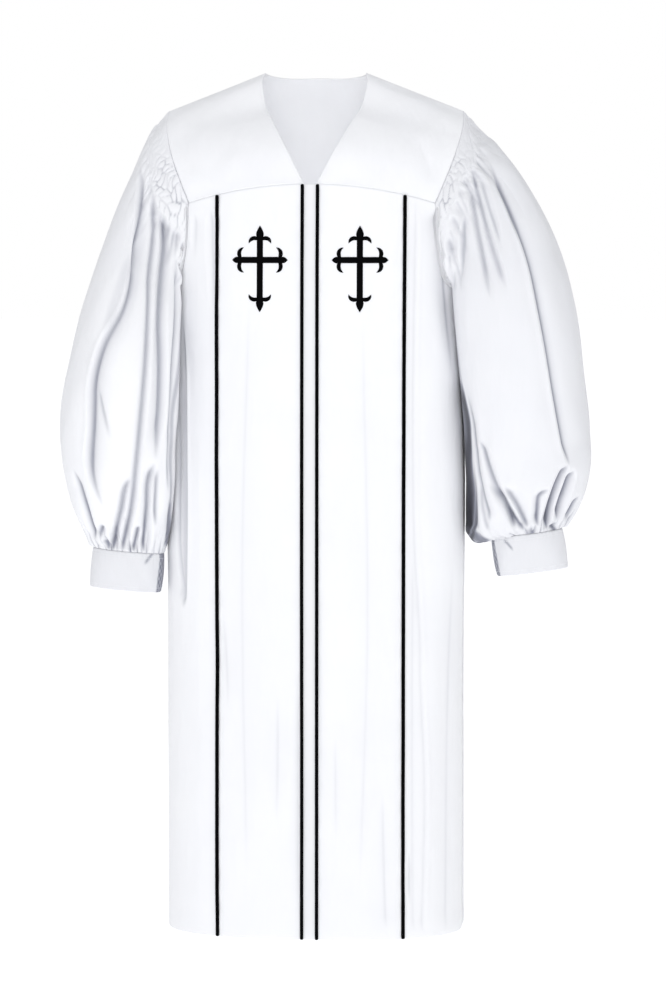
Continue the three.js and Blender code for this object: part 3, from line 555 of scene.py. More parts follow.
def flute_rise(z, turn):
    """Soft flutes down the back, with small gathers where they leave the yoke, and painted shade in their
    valleys and between the gathers.
    """
    around = np.mod(turn, 2 * np.pi)
    fade = smooth((around - np.pi / 2) / 0.35) * smooth((1.5 * np.pi - around) / 0.35)
    fall = np.clip((z - CORNER_Z) / (HEM_Z - CORNER_Z), 0, 1)
    phase = FLUTES * (around - np.pi) + 0.5 * np.sin(3 * around) + 0.35 * np.sin(fall * 3 + 2 * around)
    size = np.interp(phase / (2 * np.pi) % FLUTES, np.arange(FLUTES + 1), FLUTE_SIZE)
    wave = np.cos(phase)
    flute = FLUTE_DEPTH * fall ** 0.8 * size * (wave - 0.22 * np.cos(2 * phase + 0.5 * fall))
    small = 3.0 * phase + 0.8 * np.sin(2.3 * phase)
    gather = 2.4 * np.exp(-(fall / 0.055) ** 1.3) * (np.abs(np.sin(small / 2)) ** 0.8 - 0.6)
    valley = 0.35 * np.clip(-wave, 0, 1) ** 4 * fall ** 0.8 * size
    pinch = 0.5 * np.exp(-(fall / 0.05) ** 1.3) * (1 - np.abs(np.sin(small / 2))) ** 3
    return fade * (flute + gather * smooth(fall / 0.004)), fade * (valley + pinch)


def body_relief(p, turn):
    """Folds of the body at a point of its plain form, as a distance outwards, and the painted shade in its
    creases.
    """
    x, z = seen(p)
    front = smooth(np.cos(turn) / 0.18)
    calm = waves(p[..., 0], p[..., 2], CALM)
    rise, valley = flute_rise(p[..., 2], turn)
    behind = np.cos(turn) < 0
    height, crease_shade = folded(x, z, BODY_STROKES)
    crease_shade = np.maximum(crease_shade, shaded(x, z, BODY_SHADES))
    return front * height + np.where(behind, rise, 0) + calm, front * crease_shade + np.where(behind, valley, 0)


def body_point(turn, z, lift=0.0):
    p = section_point(turn, z)
    out = -to_spine(p)
    return p + out * (body_relief(p, turn)[0] + lift)[..., None]


def front_point(x, z, lift=0.0):
    return body_point(turn_at(x, z), z, lift)


print("yoke corner height:", round(CORNER_Z, 1))

# %% [markdown]
# ## Body panels
# The robe hangs from its yoke in six long panels: a back, two sides, two centre fronts and
# the placket that hides the zip. Each panel is a set of columns that run from the seam at
# the top to the hem. A panel sinks into a groove at each seam, and below the hem line a
# second layer of turned-up cloth makes it a little fuller.

# %% Columns and panels
HEM_TURN = 26.0                  # height of the turned-up cloth at the hem
PANEL_ROWS, BACK_ROWS = 150, 130
PANEL_LENGTH = 1100.0
ROW_CROWDING = 1.12              # power that draws a panel's rows up to its top
SIDE_SEAM_TURN = 0.0035          # half the side seam's gap, as an angle around the body


def lower_arm(angle):
    x = mix(YOKE_CORNER_X, float(half_at(UNDERARM_Z)), 1 - np.cos(angle) ** 0.9)
    return x, mix(CORNER_Z, UNDERARM_Z, np.sin(angle) ** 0.9)


def body_panel(name, top, turn_of, rows=PANEL_ROWS, seams=1, lift=0.0):
    """A panel between columns; turn_of gives each column's turn at a grid of heights."""
    share = shares(rows, PANEL_LENGTH, ROW_CROWDING)[:, None]
    z = mix(top - HALF_GAP, HEM_Z, share)
    turn = turn_of(z)
    base = section_point(turn, z)
    out = -to_spine(base)
    x = along_rows(base)[0]
    from_left, from_right = x, x[:, -1:] - x
    sink = edge_sink(top - z, 0.6) + seams * edge_sink(from_left) + seams * edge_sink(from_right)
    hem = 0.5 * smooth((HEM_Z + HEM_TURN - z) / 3.0) - edge_sink(z - HEM_Z, 0.7)
    pucker = 0.5 * np.exp(-from_left / 9) * np.sin(z / 7.3) * seams
    pucker += 0.5 * np.exp(-from_right / 9) * np.sin(z / 6.1 + 1) * seams
    relief, crease_shade = body_relief(base, turn)
    relief = relief + lift
    outer = base + out * (relief - sink + hem + pucker)[..., None]
    inner = base + out * (relief - CLOTH + 0.4 * edge_sink(z - HEM_Z, 0.7))[..., None]
    # Painted shade also lies in a narrow strip under the top seam.
    return shell(name, outer, inner, crease_shade=crease_shade + 0.25 * edge_sink(top - z, 1.0))


def centre_front(name, side):
    width = PIPING_OUTER_X - PIPING_INNER_X
    x = side * mix(PIPING_INNER_X + HALF_GAP, PIPING_OUTER_X - HALF_GAP, shares(64, width))[::side]
    return body_panel(name, front_seam_z(x), lambda z: turn_at(x, z))


def side_front(name, side):
    flat = mix(PIPING_OUTER_X + HALF_GAP, YOKE_CORNER_X, np.linspace(0, 1, 25)[:-1])
    flat = np.concatenate([flat[0] + EDGE_STEPS[:-1], flat[2:]])
    angle = np.linspace(0, np.pi / 2, 46)
    arm_x, arm_z = lower_arm(angle)
    x = np.concatenate([flat, arm_x])
    top = np.concatenate([front_seam_z(flat), arm_z])
    held = turn_at(x, top)
    held[-1] = np.pi / 2 - SIDE_SEAM_TURN
    stay = smooth((x - PIPING_OUTER_X) / (YOKE_CORNER_X - PIPING_OUTER_X))
    x, top, held, stay = x[::side], top[::side], held[::side], stay[::side]
    return body_panel(name, top, lambda z: side * mix(turn_at(x, z), held, stay))


def back_panel(name):
    angle = np.linspace(np.pi / 2, 0, 36)[:-1]
    rim_x, rim_z = lower_arm(angle)
    rim = np.pi - turn_at(rim_x, rim_z)
    rim[0] = np.pi / 2 + SIDE_SEAM_TURN
    corner = float(turn_at(YOKE_CORNER_X, CORNER_Z))
    across = np.linspace(np.pi - corner, np.pi + corner, 201)
    seam = back_seam_z(section_point(across, CORNER_Z)[:, 0])
    turn = np.concatenate([rim, across, 2 * np.pi - rim[::-1]])
    top = np.concatenate([rim_z, seam, rim_z[::-1]])
    return body_panel(name, top, lambda z: np.broadcast_to(turn, z.shape), BACK_ROWS)


def placket_strip(name):
    reach = PIPING_INNER_X - HALF_GAP
    x = mix(-reach, reach, shares(10, 2 * reach))
    return body_panel(name, front_seam_z(x), lambda z: turn_at(x, z), seams=0, lift=-PLACKET_SINK)


LEFT, RIGHT = -1, 1
back_cloth = back_panel("back_cloth")
side_left_cloth = side_front("front_side_left_cloth", LEFT)
side_right_cloth = side_front("front_side_right_cloth", RIGHT)
centre_left_cloth = centre_front("front_centre_left_cloth", LEFT)
centre_right_cloth = centre_front("front_centre_right_cloth", RIGHT)
placket_cloth_strip = placket_strip("placket_cloth_strip")

# %% [markdown]
# ## Yokes
# The yoke is the stiff, flat part that carries everything. In front it is two patches
# between the shoulder seam, the V of the neck, the armhole and the yoke seam. Behind it is
# one smooth dome. A patch stretched between four curves is the usual way to cover such a
# shape; behind the neck it would ripple, so the back is made from its profile instead.

# %% Yoke surfaces
def table_curve(rows):
    rows = np.asarray(rows, float)
    return through(rows[:, 0], rows[:, 1:])


yoke_corner = section_point(turn_at(YOKE_CORNER_X, CORNER_Z), CORNER_Z)
back_corner = section_point(np.pi - turn_at(YOKE_CORNER_X, CORNER_Z), CORNER_Z)
v_bottom = section_point(turn_at(V_BOTTOM_X, front_seam_z(V_BOTTOM_X)), front_seam_z(V_BOTTOM_X))
arm_edge = table_curve([
    (0, TIP_X, 0, TIP_Z), (0.22, 220, -29, -50), (0.48, 211, -54, -88), (0.74, 198, -67, -124),
    (1, *yoke_corner),
])
neck_edge = table_curve([
    (0, NECK_X, 0, NECK_Z), (0.12, 78, -16, 18), (0.3, 71, -38, -19), (0.45, 60, -61, -39),
    (0.7, 38, -91, -79), (1, *v_bottom),
])


def back_arm_edge(t):
    p = arm_edge(t)
    share = mix(0.93, -back_corner[1] / yoke_corner[1], smooth(2 * np.asarray(t) - 1))
    return points(p[..., 0], -p[..., 1] * share, p[..., 2])


def shoulder_seam(s):
    return points(mix(NECK_X, TIP_X, s), 0, mix(NECK_Z, TIP_Z, s))


def lower_seam(s):
    x = mix(V_BOTTOM_X, YOKE_CORNER_X, s)
    return section_point(turn_at(x, front_seam_z(x)), front_seam_z(x))


def front_yoke_point(s, t):
    """Coons patch: s runs from the neck to the armhole, t from the shoulder to the seam."""
    a, b = s[..., None], t[..., None]
    top, bottom = shoulder_seam(s), lower_seam(s)
    p = top * (1 - b) + bottom * b + neck_edge(t) * (1 - a) + arm_edge(t) * a
    p -= shoulder_seam(0.0) * (1 - a) * (1 - b) + shoulder_seam(1.0) * a * (1 - b)
    return p - lower_seam(0.0) * (1 - a) * b - lower_seam(1.0) * a * b


SHOULDER_SLOPE = (TIP_Z - NECK_Z) / (TIP_X - NECK_X)


def ridge_z(x):
    past = np.abs(x) - NECK_X
    over_neck = NECK_Z - SHOULDER_SLOPE * NECK_X / 2 * (1 - (x / NECK_X) ** 2)
    return np.where(past > 0, NECK_Z + SHOULDER_SLOPE * past, over_neck)


def back_dome(s, turn):
    edge = back_arm_edge(turn / (np.pi / 2))
    x = s * YOKE_CORNER_X
    z = back_seam_z(x)
    seam = section_point(np.pi - turn_at(x, z), z)
    fore = mix(np.sin(turn) ** ROUNDNESS, edge[..., 1] / back_corner[1], s * s)
    rise = mix(np.cos(turn) ** ROUNDNESS, (edge[..., 2] - CORNER_Z) / (TIP_Z - CORNER_Z), s * s)
    return points(s * edge[..., 0], seam[..., 1] * fore, mix(z, ridge_z(s * TIP_X), rise))


def neck_turn(s):
    share = np.minimum(1, np.abs(s * TIP_X) / NECK_X)
    neck_y = BACK_NECK_Y * (1 - share ** (2 / ROUNDNESS)) ** (ROUNDNESS / 2)
    return np.arcsin((neck_y / back_dome(s, np.full_like(s, np.pi / 2))[..., 1]) ** (1 / ROUNDNESS))


# %% [markdown]
# The yoke's cloth grows inwards from its outer face: straight down at the shoulder seam and
# level at the lower seam, as the solid's wall does. A few shallow tension folds run from
# the neck towards the armhole, where a real yoke is eased over the shoulder.

# %% Yoke cloth
YOKE_INSET = 0.0016              # half a seam's gap, as a share of the patch
YOKE_WAVES = [(0.5, 38, 21, 0.3), (0.4, -27, 33, 2.2), (0.28, 15, -17, 4.4), (0.18, 9, 12, 1.2)]


def outward(grid):
    """Outward direction of a grid of points, from its neighbours."""
    across = np.gradient(grid, axis=1)
    down = np.gradient(grid, axis=0)
    way = unit(np.cross(across, down))
    centre = np.array([0.0, 0.0, -180.0])
    flip = np.sign(np.einsum("ijk,ijk->ij", way, grid - centre))
    return way * np.sign(np.median(flip))


def yoke_cloth(name, base, strokes=()):
    u, v = along_rows(base)
    width, height = u[:, -1:], v[-1:, :]
    out = outward(base)
    sink = edge_sink(v, 0.5) + edge_sink(height - v, 0.5) + edge_sink(u, 0.6) + edge_sink(width - u, 0.45)
    x, z = seen(base)
    relief = waves(base[..., 0], base[..., 2] - base[..., 1], YOKE_WAVES) + folded(x, z, strokes)[0]
    relief *= smooth(v / 12) * smooth((height - v) / 12) * smooth(u / 12) * smooth((width - u) / 12)
    t = (v / height)[..., None]
    inward = unit(to_spine(base) * t + np.array([0.0, 0.0, -1.0]) * (1 - t))
    outer = base + out * (relief - sink)[..., None]
    inner = base + out * relief[..., None] * 0.8 + inward * CLOTH
    return shell(name, outer, inner)


RIGHT_YOKE_STROKES = [
    ([(196, -30), (188, -90), (168, -128)], 2.6, 14, 10, 1.2, -1, 30, 30),
    ([(150, -60), (172, -112), (180, -140)], 2.0, 10, 10, 1.0, -1, 30, 20),
]
LEFT_YOKE_STROKES = [
    ([(-205, -40), (-190, -95), (-176, -135)], 2.2, 10, 14, 1.0, 1, 30, 30),
    ([(-120, -60), (-150, -100), (-176, -128)], 1.4, 14, 12, 0.8, 1, 30, 20),
]


def front_yoke(name, side, strokes):
    s, t = (mix(YOKE_INSET, 1 - YOKE_INSET, share) for share in (shares(64, 160.0), shares(48, 130.0)))
    base = front_yoke_point(*np.meshgrid(s, t))
    base[..., 0] *= side
    return yoke_cloth(name, base, strokes)


def back_yoke(name):
    neck = NECK_X / TIP_X
    shoulder = np.linspace(1 - YOKE_INSET, neck, 30)[:-1]
    shoulder = np.concatenate([[shoulder[0], shoulder[0] - 0.002, shoulder[0] - 0.006], shoulder[1:]])
    middle = neck * np.cos(np.pi * np.linspace(0, 1, 71))
    s = np.concatenate([shoulder, middle, -shoulder[::-1]])
    t = mix(YOKE_INSET, 1 - YOKE_INSET, shares(48, 150.0))
    grid_s, grid_t = np.meshgrid(s, t)
    return yoke_cloth(name, back_dome(grid_s, mix(neck_turn(grid_s), np.pi / 2, grid_t)))


yoke_left_cloth = front_yoke("front_yoke_left_cloth", LEFT, LEFT_YOKE_STROKES)
yoke_right_cloth = front_yoke("front_yoke_right_cloth", RIGHT, RIGHT_YOKE_STROKES)
yoke_back_cloth = back_yoke("back_yoke_cloth")

# %% [markdown]
# ## Sleeves
# A bell of cloth, far wider than the arm, is drawn up at both ends: at the armhole by two
# rows of shirring and at the wrist by the cuff. The base form runs through sections down
# the arm. On it lie three kinds of folds: crinkles in the shirred band, pleats that spread
# from each gathered end and die out, and the long strokes from above. A cloth simulation
# could find such folds too, but not these ones in these places, so they are given here.

# %% Armhole and sections
# Out x and z, in x and z, middle y, half depth, and how far the cloth wraps round the body.
SLEEVE_LEFT = [
    (272, -121, 222, -308, -10, 90, 36, 6), (300, -188, 212, -351, -28, 97, 27, 8),
    (332, -277, 208, -411, -42, 100, 24, 8), (357, -366, 206, -478, -48, 100, 20, 8),
    (375, -456, 207, -530, -50, 96, 17, 8), (377, -516, 209, -575, -50, 88, 17, 8),
    (371, -568, 212, -612, -48, 76, 14, 8), (360, -618, 215, -646, -45, 60, 8, 6),
    (344, -652, 219, -668, -42, 43, 2, 3), (331, -676, 224, -685, -40, 32, 0, 0),
]
SLEEVE_RIGHT = [
    (284, -96, 225, -300, -4, 90, 27, 6), (330, -160, 224, -338, -8, 98, 25, 8),
    (370, -250, 224, -398, -10, 102, 20, 8), (392, -340, 224, -458, -10, 102, 13, 8),
    (402, -430, 225, -520, -10, 98, 10, 8), (410, -500, 226, -575, -10, 90, 6, 8),
    (411, -552, 226, -632, -10, 78, 3, 8), (402, -590, 227, -654, -10, 60, 2, 6),
    (386, -622, 243, -667, -10, 43, 0, 3), (369, -646, 263, -660, -10, 32, 0, 0),
]
UPPER_SHARE = 0.52
ARM_START = 0.15                 # the sleeve begins this far outside the armhole
ARMHOLE_RADIUS = 76.0            # of a circle as long as the armhole
BODY_CLEAR = 3.0                 # the sleeve's plain form stays this far from the body's


def from_shoulder(turn):
    """How far down the armhole a turn is, on either side of it: 0 at the shoulder, 1 below."""
    return np.where(turn <= np.pi, turn / np.pi, 2 - turn / np.pi)


def armhole_point(turn):
    share = from_shoulder(turn)
    upper = np.clip(share / UPPER_SHARE, 0, 1)
    over = np.where((turn <= np.pi)[:, None], arm_edge(upper), back_arm_edge(upper))
    angle = np.clip((share - UPPER_SHARE) / (1 - UPPER_SHARE), 0, 1) * np.pi / 2
    x, z = lower_arm(angle)
    around = turn_at(x, z)
    under = section_point(np.where(turn <= np.pi, around, np.pi - around), z)
    return np.where((share <= UPPER_SHARE)[:, None], over, under)


def band_point(row, turn, along):
    """A place in the band: square to the seam above, straight towards the first section below."""
    upright, level = np.cos(turn), np.sin(turn)
    over, under, front = np.array([0.8, 0, -0.9]), np.array([0.35, 0, -0.45]), np.array([0.95, -0.3, -0.2])
    way = np.where(upright[:, None] > 0, over, under) * (upright ** 2)[:, None]
    way += np.stack([front[0] * level ** 2, front[1] * level, front[2] * level ** 2], axis=-1)
    start = armhole_point(turn)
    straight = (sleeve_section(row, turn) - start) * 0.45
    wrapping = smooth((from_shoulder(turn) - 0.46) / 0.16)[:, None]
    return start + mix(way * BAND_WIDTH, straight, wrapping) * along + np.array([ARM_START, 0, 0])


def sleeve_section(row, turn):
    out_x, out_z, in_x, in_z, mid_y, depth, fore_tuck, rear_tuck = row
    upright, level = np.cos(turn), np.sin(turn)
    along = np.sign(upright) * np.abs(upright) ** 0.92
    fore = np.sign(level) * np.abs(level) ** 0.92
    share = (1 + along) / 2
    tuck = np.where(level > 0, fore_tuck, rear_tuck) * np.maximum(0, -2 * upright * np.abs(level))
    return points(mix(in_x, out_x, share) - tuck, mid_y - depth * fore, mix(in_z, out_z, share))


def body_reach(y, z):
    depth = np.where(y < 0, front_at(z), back_at(z)) + BODY_CLEAR
    share = np.minimum(1, np.abs(y) / depth) ** (2 / ROUNDNESS)
    return (half_at(z) + BODY_CLEAR) * (1 - share) ** (ROUNDNESS / 2)


# %% [markdown]
# Gathered cloth stands in round ridges with sharp valleys between them. The ridges are
# counted by a phase around the arm, and each one gets a height and a length from a seeded
# list, so that no two are alike and the robe is the same each time it is made.

# %% Gathers
def gathers(turn, away_from_row, count, height, length, seed, wander):
    """Ridges around an arm that fall off with the distance from their row of stitching, and painted shade
    between them.
    """
    chance = np.random.default_rng(seed)
    size = chance.uniform(0.45, 1.3, count)
    reach = length * chance.uniform(0.45, 1.6, count)
    swing = sum(chance.uniform(0.1, 0.28) * np.sin(k * turn + chance.uniform(0, 6.28)) for k in (3, 5, 8, 13))
    drift = wander * np.sin(away_from_row / 37 + 5 * turn)
    phase = count * turn / (2 * np.pi) + swing + drift
    j = np.floor(phase).astype(int) % count
    fall = np.exp(-(np.maximum(away_from_row, 0) / reach[j]) ** 1.4)
    ridge = np.abs(np.sin(np.pi * phase)) ** 0.72
    plain = 0.45 * np.exp(-(np.maximum(away_from_row, 0) / length) ** 1.4)
    return height * (size[j] * fall * ridge - plain), fall * np.minimum(1, size[j]) * (1 - ridge) ** 2


def long_valleys(turn, away_from_row, count, depth, length, width, seed):
    """A few sharp valleys that run on from the gathers into the open cloth, and the painted shade along them.
    """
    chance = np.random.default_rng(seed)
    total, crease_shade = np.zeros(turn.shape), np.zeros(turn.shape)
    for k in range(count):
        place = 2 * np.pi * (k + chance.uniform(-0.32, 0.32)) / count
        reach, deep = length * chance.uniform(0.5, 1.5), depth * chance.uniform(0.5, 1.25)
        bend, slow = chance.uniform(-0.1, 0.1), chance.uniform(60, 130)
        offset = turn - place - bend * np.sin(away_from_row / slow)
        offset = (offset + np.pi) % (2 * np.pi) - np.pi
        fade = smooth(away_from_row / 12) * smooth((reach - away_from_row) / (0.7 * reach))
        valley = fade * np.exp(-np.abs(offset) / width)
        total -= deep * valley
        crease_shade = np.maximum(crease_shade, valley ** 2 * min(1, deep / 9))
    return total, crease_shade


# How wide the shirred band is round the armhole, from the shoulder (0) to the underarm (1).
BAND_SHARE = [0, 0.12, 0.2, 0.25, 0.32, 0.385, 0.52, 0.56, 0.6, 0.7, 1]
BAND_FRONT_LEFT = [20, 32, 35, 36, 37, 38, 36, 24, 10, 7, 6]
BAND_FRONT_RIGHT = [9, 12, 26, 29, 23, 20, 19, 13, 7, 6, 6]
BAND_BEHIND = [26, 27, 28, 28, 28, 28, 26, 22, 16, 9, 6]


def band_width(turn, front):
    share = from_shoulder(turn)
    at_shoulder = through(BAND_SHARE, front)(0.0)
    behind = mix(at_shoulder, through(BAND_SHARE, BAND_BEHIND)(share), smooth(share / 0.12))
    return np.where(turn <= np.pi, through(BAND_SHARE, front)(share), behind)


CELLS = 64                       # cells in each direction before the pattern repeats
CELL_LONG, CELL_SHORT, CELL_LEAN = 16.0, 7.5, 0.95
PUFF = 5.0                       # height of the puffs between two rows of stitching


def border_distance(u, v, long, short, lean, seed):
    """How far each place is from the nearest border of irregular, slanting cells."""
    jitter = np.random.default_rng(seed).uniform(0.1, 0.9, (CELLS, CELLS, 2))
    p = (u * np.cos(lean) + v * np.sin(lean)) / long
    q = (v * np.cos(lean) - u * np.sin(lean)) / short
    first, second = np.full(u.shape, 9.0), np.full(u.shape, 9.0)
    for across in (-1, 0, 1):
        for up in (-1, 0, 1):
            i, j = np.floor(p).astype(int) + across, np.floor(q).astype(int) + up
            spot = jitter[i % CELLS, j % CELLS]
            distance = np.hypot(p - i - spot[..., 0], q - j - spot[..., 1])
            second = np.minimum(second, np.maximum(first, distance))
            first = np.minimum(first, distance)
    return second - first


def shirring(turn, s, width, seed):
    """Puffs and crinkles between the band's two rows of stitching; calmer over the shoulder. The crinkles
    also get painted shade.
    """
    around = turn * ARMHOLE_RADIUS
    u = around + 4.0 * np.sin(s / 6 + around / 14)
    v = s + 3.0 * np.sin(around / 9)
    gap = border_distance(u, v, CELL_LONG, CELL_SHORT, CELL_LEAN, seed)
    puff = 1 - np.exp(-gap / 0.4)
    uneven = 0.6 + 0.4 * np.sin(u / 7 + 1) * np.sin(v / 5 + 2)
    line = uneven * np.exp(-(gap / 0.15) ** 2)
    pinch = np.sin(np.pi * np.clip(s / width, 0, 1)) ** 0.6
    share = from_shoulder(turn)
    strength = mix(0.2, 1, smooth((share - 0.18) / 0.2)) * mix(1, 0.15, smooth((share - 0.55) / 0.1))
    height = strength * (PUFF * (puff - 0.45) * (0.35 + 0.65 * pinch) + 1.2 * pinch)
    return height, strength * 0.8 * line * (0.3 + 0.7 * pinch)


# %% [markdown]
# One sleeve is a grid of rows down the arm and columns around it. The rows are closest in
# the shirred band. The side next to the body is kept clear of it, and the wrist end closes
# up to the cuff.

# %% Sleeve cloth
SLEEVE_COLUMNS = 400
CROWDING = 0.5                   # share by which columns crowd at the front of the sleeve
BAND_ROWS = 42
OPEN_ROWS = 156
DENSE_REACH = 42.0               # rows are a millimetre apart as far as this
SLEEVE_RADIUS = 90.0
SLEEVE_WAVES = [(0.9, 41, 77, 0.2), (0.7, -23, 51, 1.4), (0.4, 13, -29, 3.0), (0.3, 8, 19, 4.0)]
GREY_WAVES = [(1, 83, 190, 0.2), (1, -131, 74, 1.4)]


def lowest_nearby(relief):
    """The lowest relief within two steps each way, so a coarser lining stays below the cloth."""
    low = np.minimum.reduce([np.roll(relief, k, axis=1) for k in (-2, -1, 0, 1, 2)])
    padded = np.pad(low, ((2, 2), (0, 0)), mode="edge")
    return np.minimum.reduce([padded[k:k + len(relief)] for k in range(5)])


def softened(field):
    """The field averaged with its neighbours, so that slanting folds don't step between columns."""
    field = (np.roll(field, 1, axis=1) + 2 * field + np.roll(field, -1, axis=1)) / 4
    padded = np.pad(field, ((1, 1), (0, 0)), mode="edge")
    return (padded[:-2] + 2 * field + padded[2:]) / 4


def crowded_rows(count):
    """Places from 0 to 1 that lie closer together near both ends."""
    even = np.linspace(0, 1, 400)
    density = 1 + 1.3 * np.exp(-even / 0.16) + 1.3 * np.exp((even - 1) / 0.16)
    reached = np.concatenate([[0], np.cumsum(density[1:] + density[:-1])])
    return np.interp(np.linspace(0, 1, count + 1), reached / reached[-1], even)


def ring_normals(grid):
    down = np.gradient(grid, axis=0)
    across = np.roll(grid, -1, axis=1) - np.roll(grid, 1, axis=1)
    way = unit(np.cross(across, down))
    middle = grid.mean(axis=1, keepdims=True)
    return way * np.sign(np.median(np.einsum("ijk,ijk->ij", way, grid - middle)))


def sleeve_form(side, table, turn):
    """The plain sleeve as rows of points around the arm, and each row's way from the armhole."""
    sections = [band_point(table[0], turn, along) for along in (0, 0.5, 1)]
    sections = np.array(sections + [sleeve_section(row, turn) for row in table])
    gap = np.linalg.norm(np.diff(sections, axis=0), axis=-1).mean(axis=1)
    knots = np.concatenate([[0], np.cumsum(gap)])
    down = np.concatenate([
        np.linspace(0, DENSE_REACH, BAND_ROWS + 1),
        mix(DENSE_REACH, knots[-1], crowded_rows(OPEN_ROWS))[1:],
    ])
    base = through(knots, sections.reshape(len(knots), -1))(down).reshape(len(down), -1, 3)
    reach = body_reach(base[..., 1], base[..., 2])
    below = smooth((CORNER_Z - base[..., 2]) / 8) * (down[:, None] > 0)
    clear = np.maximum(base[..., 0], mix(base[..., 0], reach, below))
    base[..., 0] = side * np.where(below > 0, clear, base[..., 0])
    return base, down


def sleeve(name, side, table, band_table, front_strokes, back_strokes, painted_shade_floor, seed):
    even = 2 * np.pi * np.arange(SLEEVE_COLUMNS) / SLEEVE_COLUMNS
    turn = even - CROWDING * (1 - np.cos(even + np.pi / 2)) + CROWDING
    base, down = sleeve_form(side, table, turn)
    out = ring_normals(base)
    s, around = np.broadcast_arrays(down[:, None], turn)
    share = from_shoulder(around)
    width = band_width(around, band_table)
    past_band, above_cuff = s - width, down[-1] - s
    in_band = past_band < 0
    to_band, to_cuff = smooth(past_band / 6), smooth(above_cuff / 5)
    facing = -out[..., 1]
    front, behind = smooth(facing / 0.35), smooth(-facing / 0.35)
    side_share, cuff_share = 0.15 + 0.85 * behind, 0.3 + 0.7 * behind

    x, z = seen(base)
    front_height, front_crease_shade = folded(x, z, front_strokes)
    back_height, back_crease_shade = folded(base[..., 0], base[..., 2], back_strokes)
    strokes = softened(front * front_height + behind * back_height)
    band, band_crease_shade = shirring(around, s, width, seed)
    head, head_crease_shade = gathers(around, past_band, 46, 3.0, 15, seed + 1, 0.12)
    wrist, wrist_crease_shade = gathers(around, above_cuff, 34, 6.5, 26, seed + 2, 0.12)
    valleys, valley_crease_shade = long_valleys(around, past_band, 17, 5.0, 190, 0.035, seed + 3)
    cuffward, cuffward_crease_shade = long_valleys(around, above_cuff, 15, 8.0, 95, 0.055, seed + 4)
    head *= mix(1, 0.2, smooth((share - 0.5) / 0.12)) * mix(0.35, 1, smooth(share / 0.22))
    calm = waves(around * SLEEVE_RADIUS, s, SLEEVE_WAVES)
    dents = 0.6 + 0.6 * np.sin(31 * around + 2 * np.sin(7 * around))
    end_sink = 1.2 * dents * np.exp(-(past_band / 1.8) ** 2) + edge_sink(s, 0.45) + edge_sink(above_cuff, 0.5)
    relief = strokes * to_band * to_cuff + np.where(in_band, band, head * to_band) + wrist * to_cuff
    relief += valleys * side_share * to_band + cuffward * cuff_share * to_cuff
    relief += calm * to_band * to_cuff - end_sink

    # Painted shade: in the folds, along the gathers and crinkles, in the places between layers, and an even
    # floor over the whole sleeve that deepens towards the cuff.
    crease_shade = softened(np.maximum(front * front_crease_shade, behind * back_crease_shade) * to_band)
    crease_shade = np.maximum(crease_shade, shaded(x, z, SLEEVE_SHADES) * (base[..., 1] < 20))
    crease_shade = np.maximum(crease_shade, np.where(in_band, band_crease_shade, 0.35 * head_crease_shade))
    crease_shade = np.maximum(crease_shade, 0.8 * wrist_crease_shade * smooth((30 - above_cuff) / 30 + 0.4))
    crease_shade = np.maximum(crease_shade, valley_crease_shade * side_share)
    crease_shade = np.maximum(crease_shade, cuffward_crease_shade * cuff_share)
    shade_near_cuff = np.exp(-above_cuff / 70)
    uneven = waves(around * SLEEVE_RADIUS, s, GREY_WAVES)
    crease_shade = np.maximum(crease_shade * (1 + 0.6 * shade_near_cuff), painted_shade_floor + 0.06 * shade_near_cuff + 0.018 * uneven)

    # Beside the body and where the rows crowd under the arm, the cloth lies calmer.
    hidden = smooth((half_at(base[..., 2]) + 16 - np.abs(base[..., 0])) / 12) * smooth(-base[..., 2] / 200)
    relief = np.where(relief < 0, relief, relief * (1 - 0.8 * hidden))
    spacing = np.linalg.norm(np.gradient(base, axis=0), axis=-1) / np.gradient(down)[:, None]
    crowded = softened(smooth((0.75 - spacing) / 0.5)) * smooth((share - 0.6) / 0.15)
    relief *= 1 - 0.95 * crowded
    crease_shade *= 1 - 0.7 * crowded
    outer = base + out * relief[..., None]
    inner = base + out * (lowest_nearby(relief) - CLOTH)[..., None]
    piece = shell(name, outer, inner[::2, ::2], ring=True, crease_shade=crease_shade)
    return piece, outer, down.searchsorted(width[0])


# Where the short strokes of each sleeve head begin, as seen from the front.
LEFT_ROW = [
    (-252, -84), (-244, -98), (-238, -120), (-227, -151), (-218, -172), (-205, -195), (-198, -225),
    (-194, -275),
]
RIGHT_ROW = [
    (230, -46), (243, -72), (240, -86), (230, -103), (219, -124), (211, -146), (204, -175), (196, -215),
    (200, -270),
]
LEFT_SLEEVE_STROKES += fan(LEFT_ROW, (-0.30, -1), (-0.06, -1), 20, 31, 5.0, 62)
RIGHT_SLEEVE_STROKES += fan(RIGHT_ROW, (0.85, -0.8), (0.12, -1), 22, 32, 5.0, 62)
LEFT_SLEEVE_BACK_STROKES += fan(LEFT_ROW, (-0.30, -1), (-0.06, -1), 20, 33, 5.5, 80)
RIGHT_SLEEVE_BACK_STROKES += fan(RIGHT_ROW, (0.7, -0.8), (0.10, -1), 22, 34, 5.5, 80)

# Each sleeve has its own even floor of painted shade; the right one is the darker.
sleeve_left_cloth, left_grid, left_row = sleeve(
    "sleeve_left_cloth", LEFT, SLEEVE_LEFT, BAND_FRONT_LEFT,
    LEFT_SLEEVE_STROKES, LEFT_SLEEVE_BACK_STROKES, painted_shade_floor=0.04, seed=11)
sleeve_right_cloth, right_grid, right_row = sleeve(
    "sleeve_right_cloth", RIGHT, SLEEVE_RIGHT, BAND_FRONT_RIGHT,
    RIGHT_SLEEVE_STROKES, RIGHT_SLEEVE_BACK_STROKES, painted_shade_floor=0.13, seed=23)

# %% [markdown]
# ## Cuffs
# The cuff is a firm band, faced and topstitched. It keeps the tilt of the sleeve's end,
# bows out a little in the middle of its height, and is nearly smooth, so that the gathers
# above it read as soft.

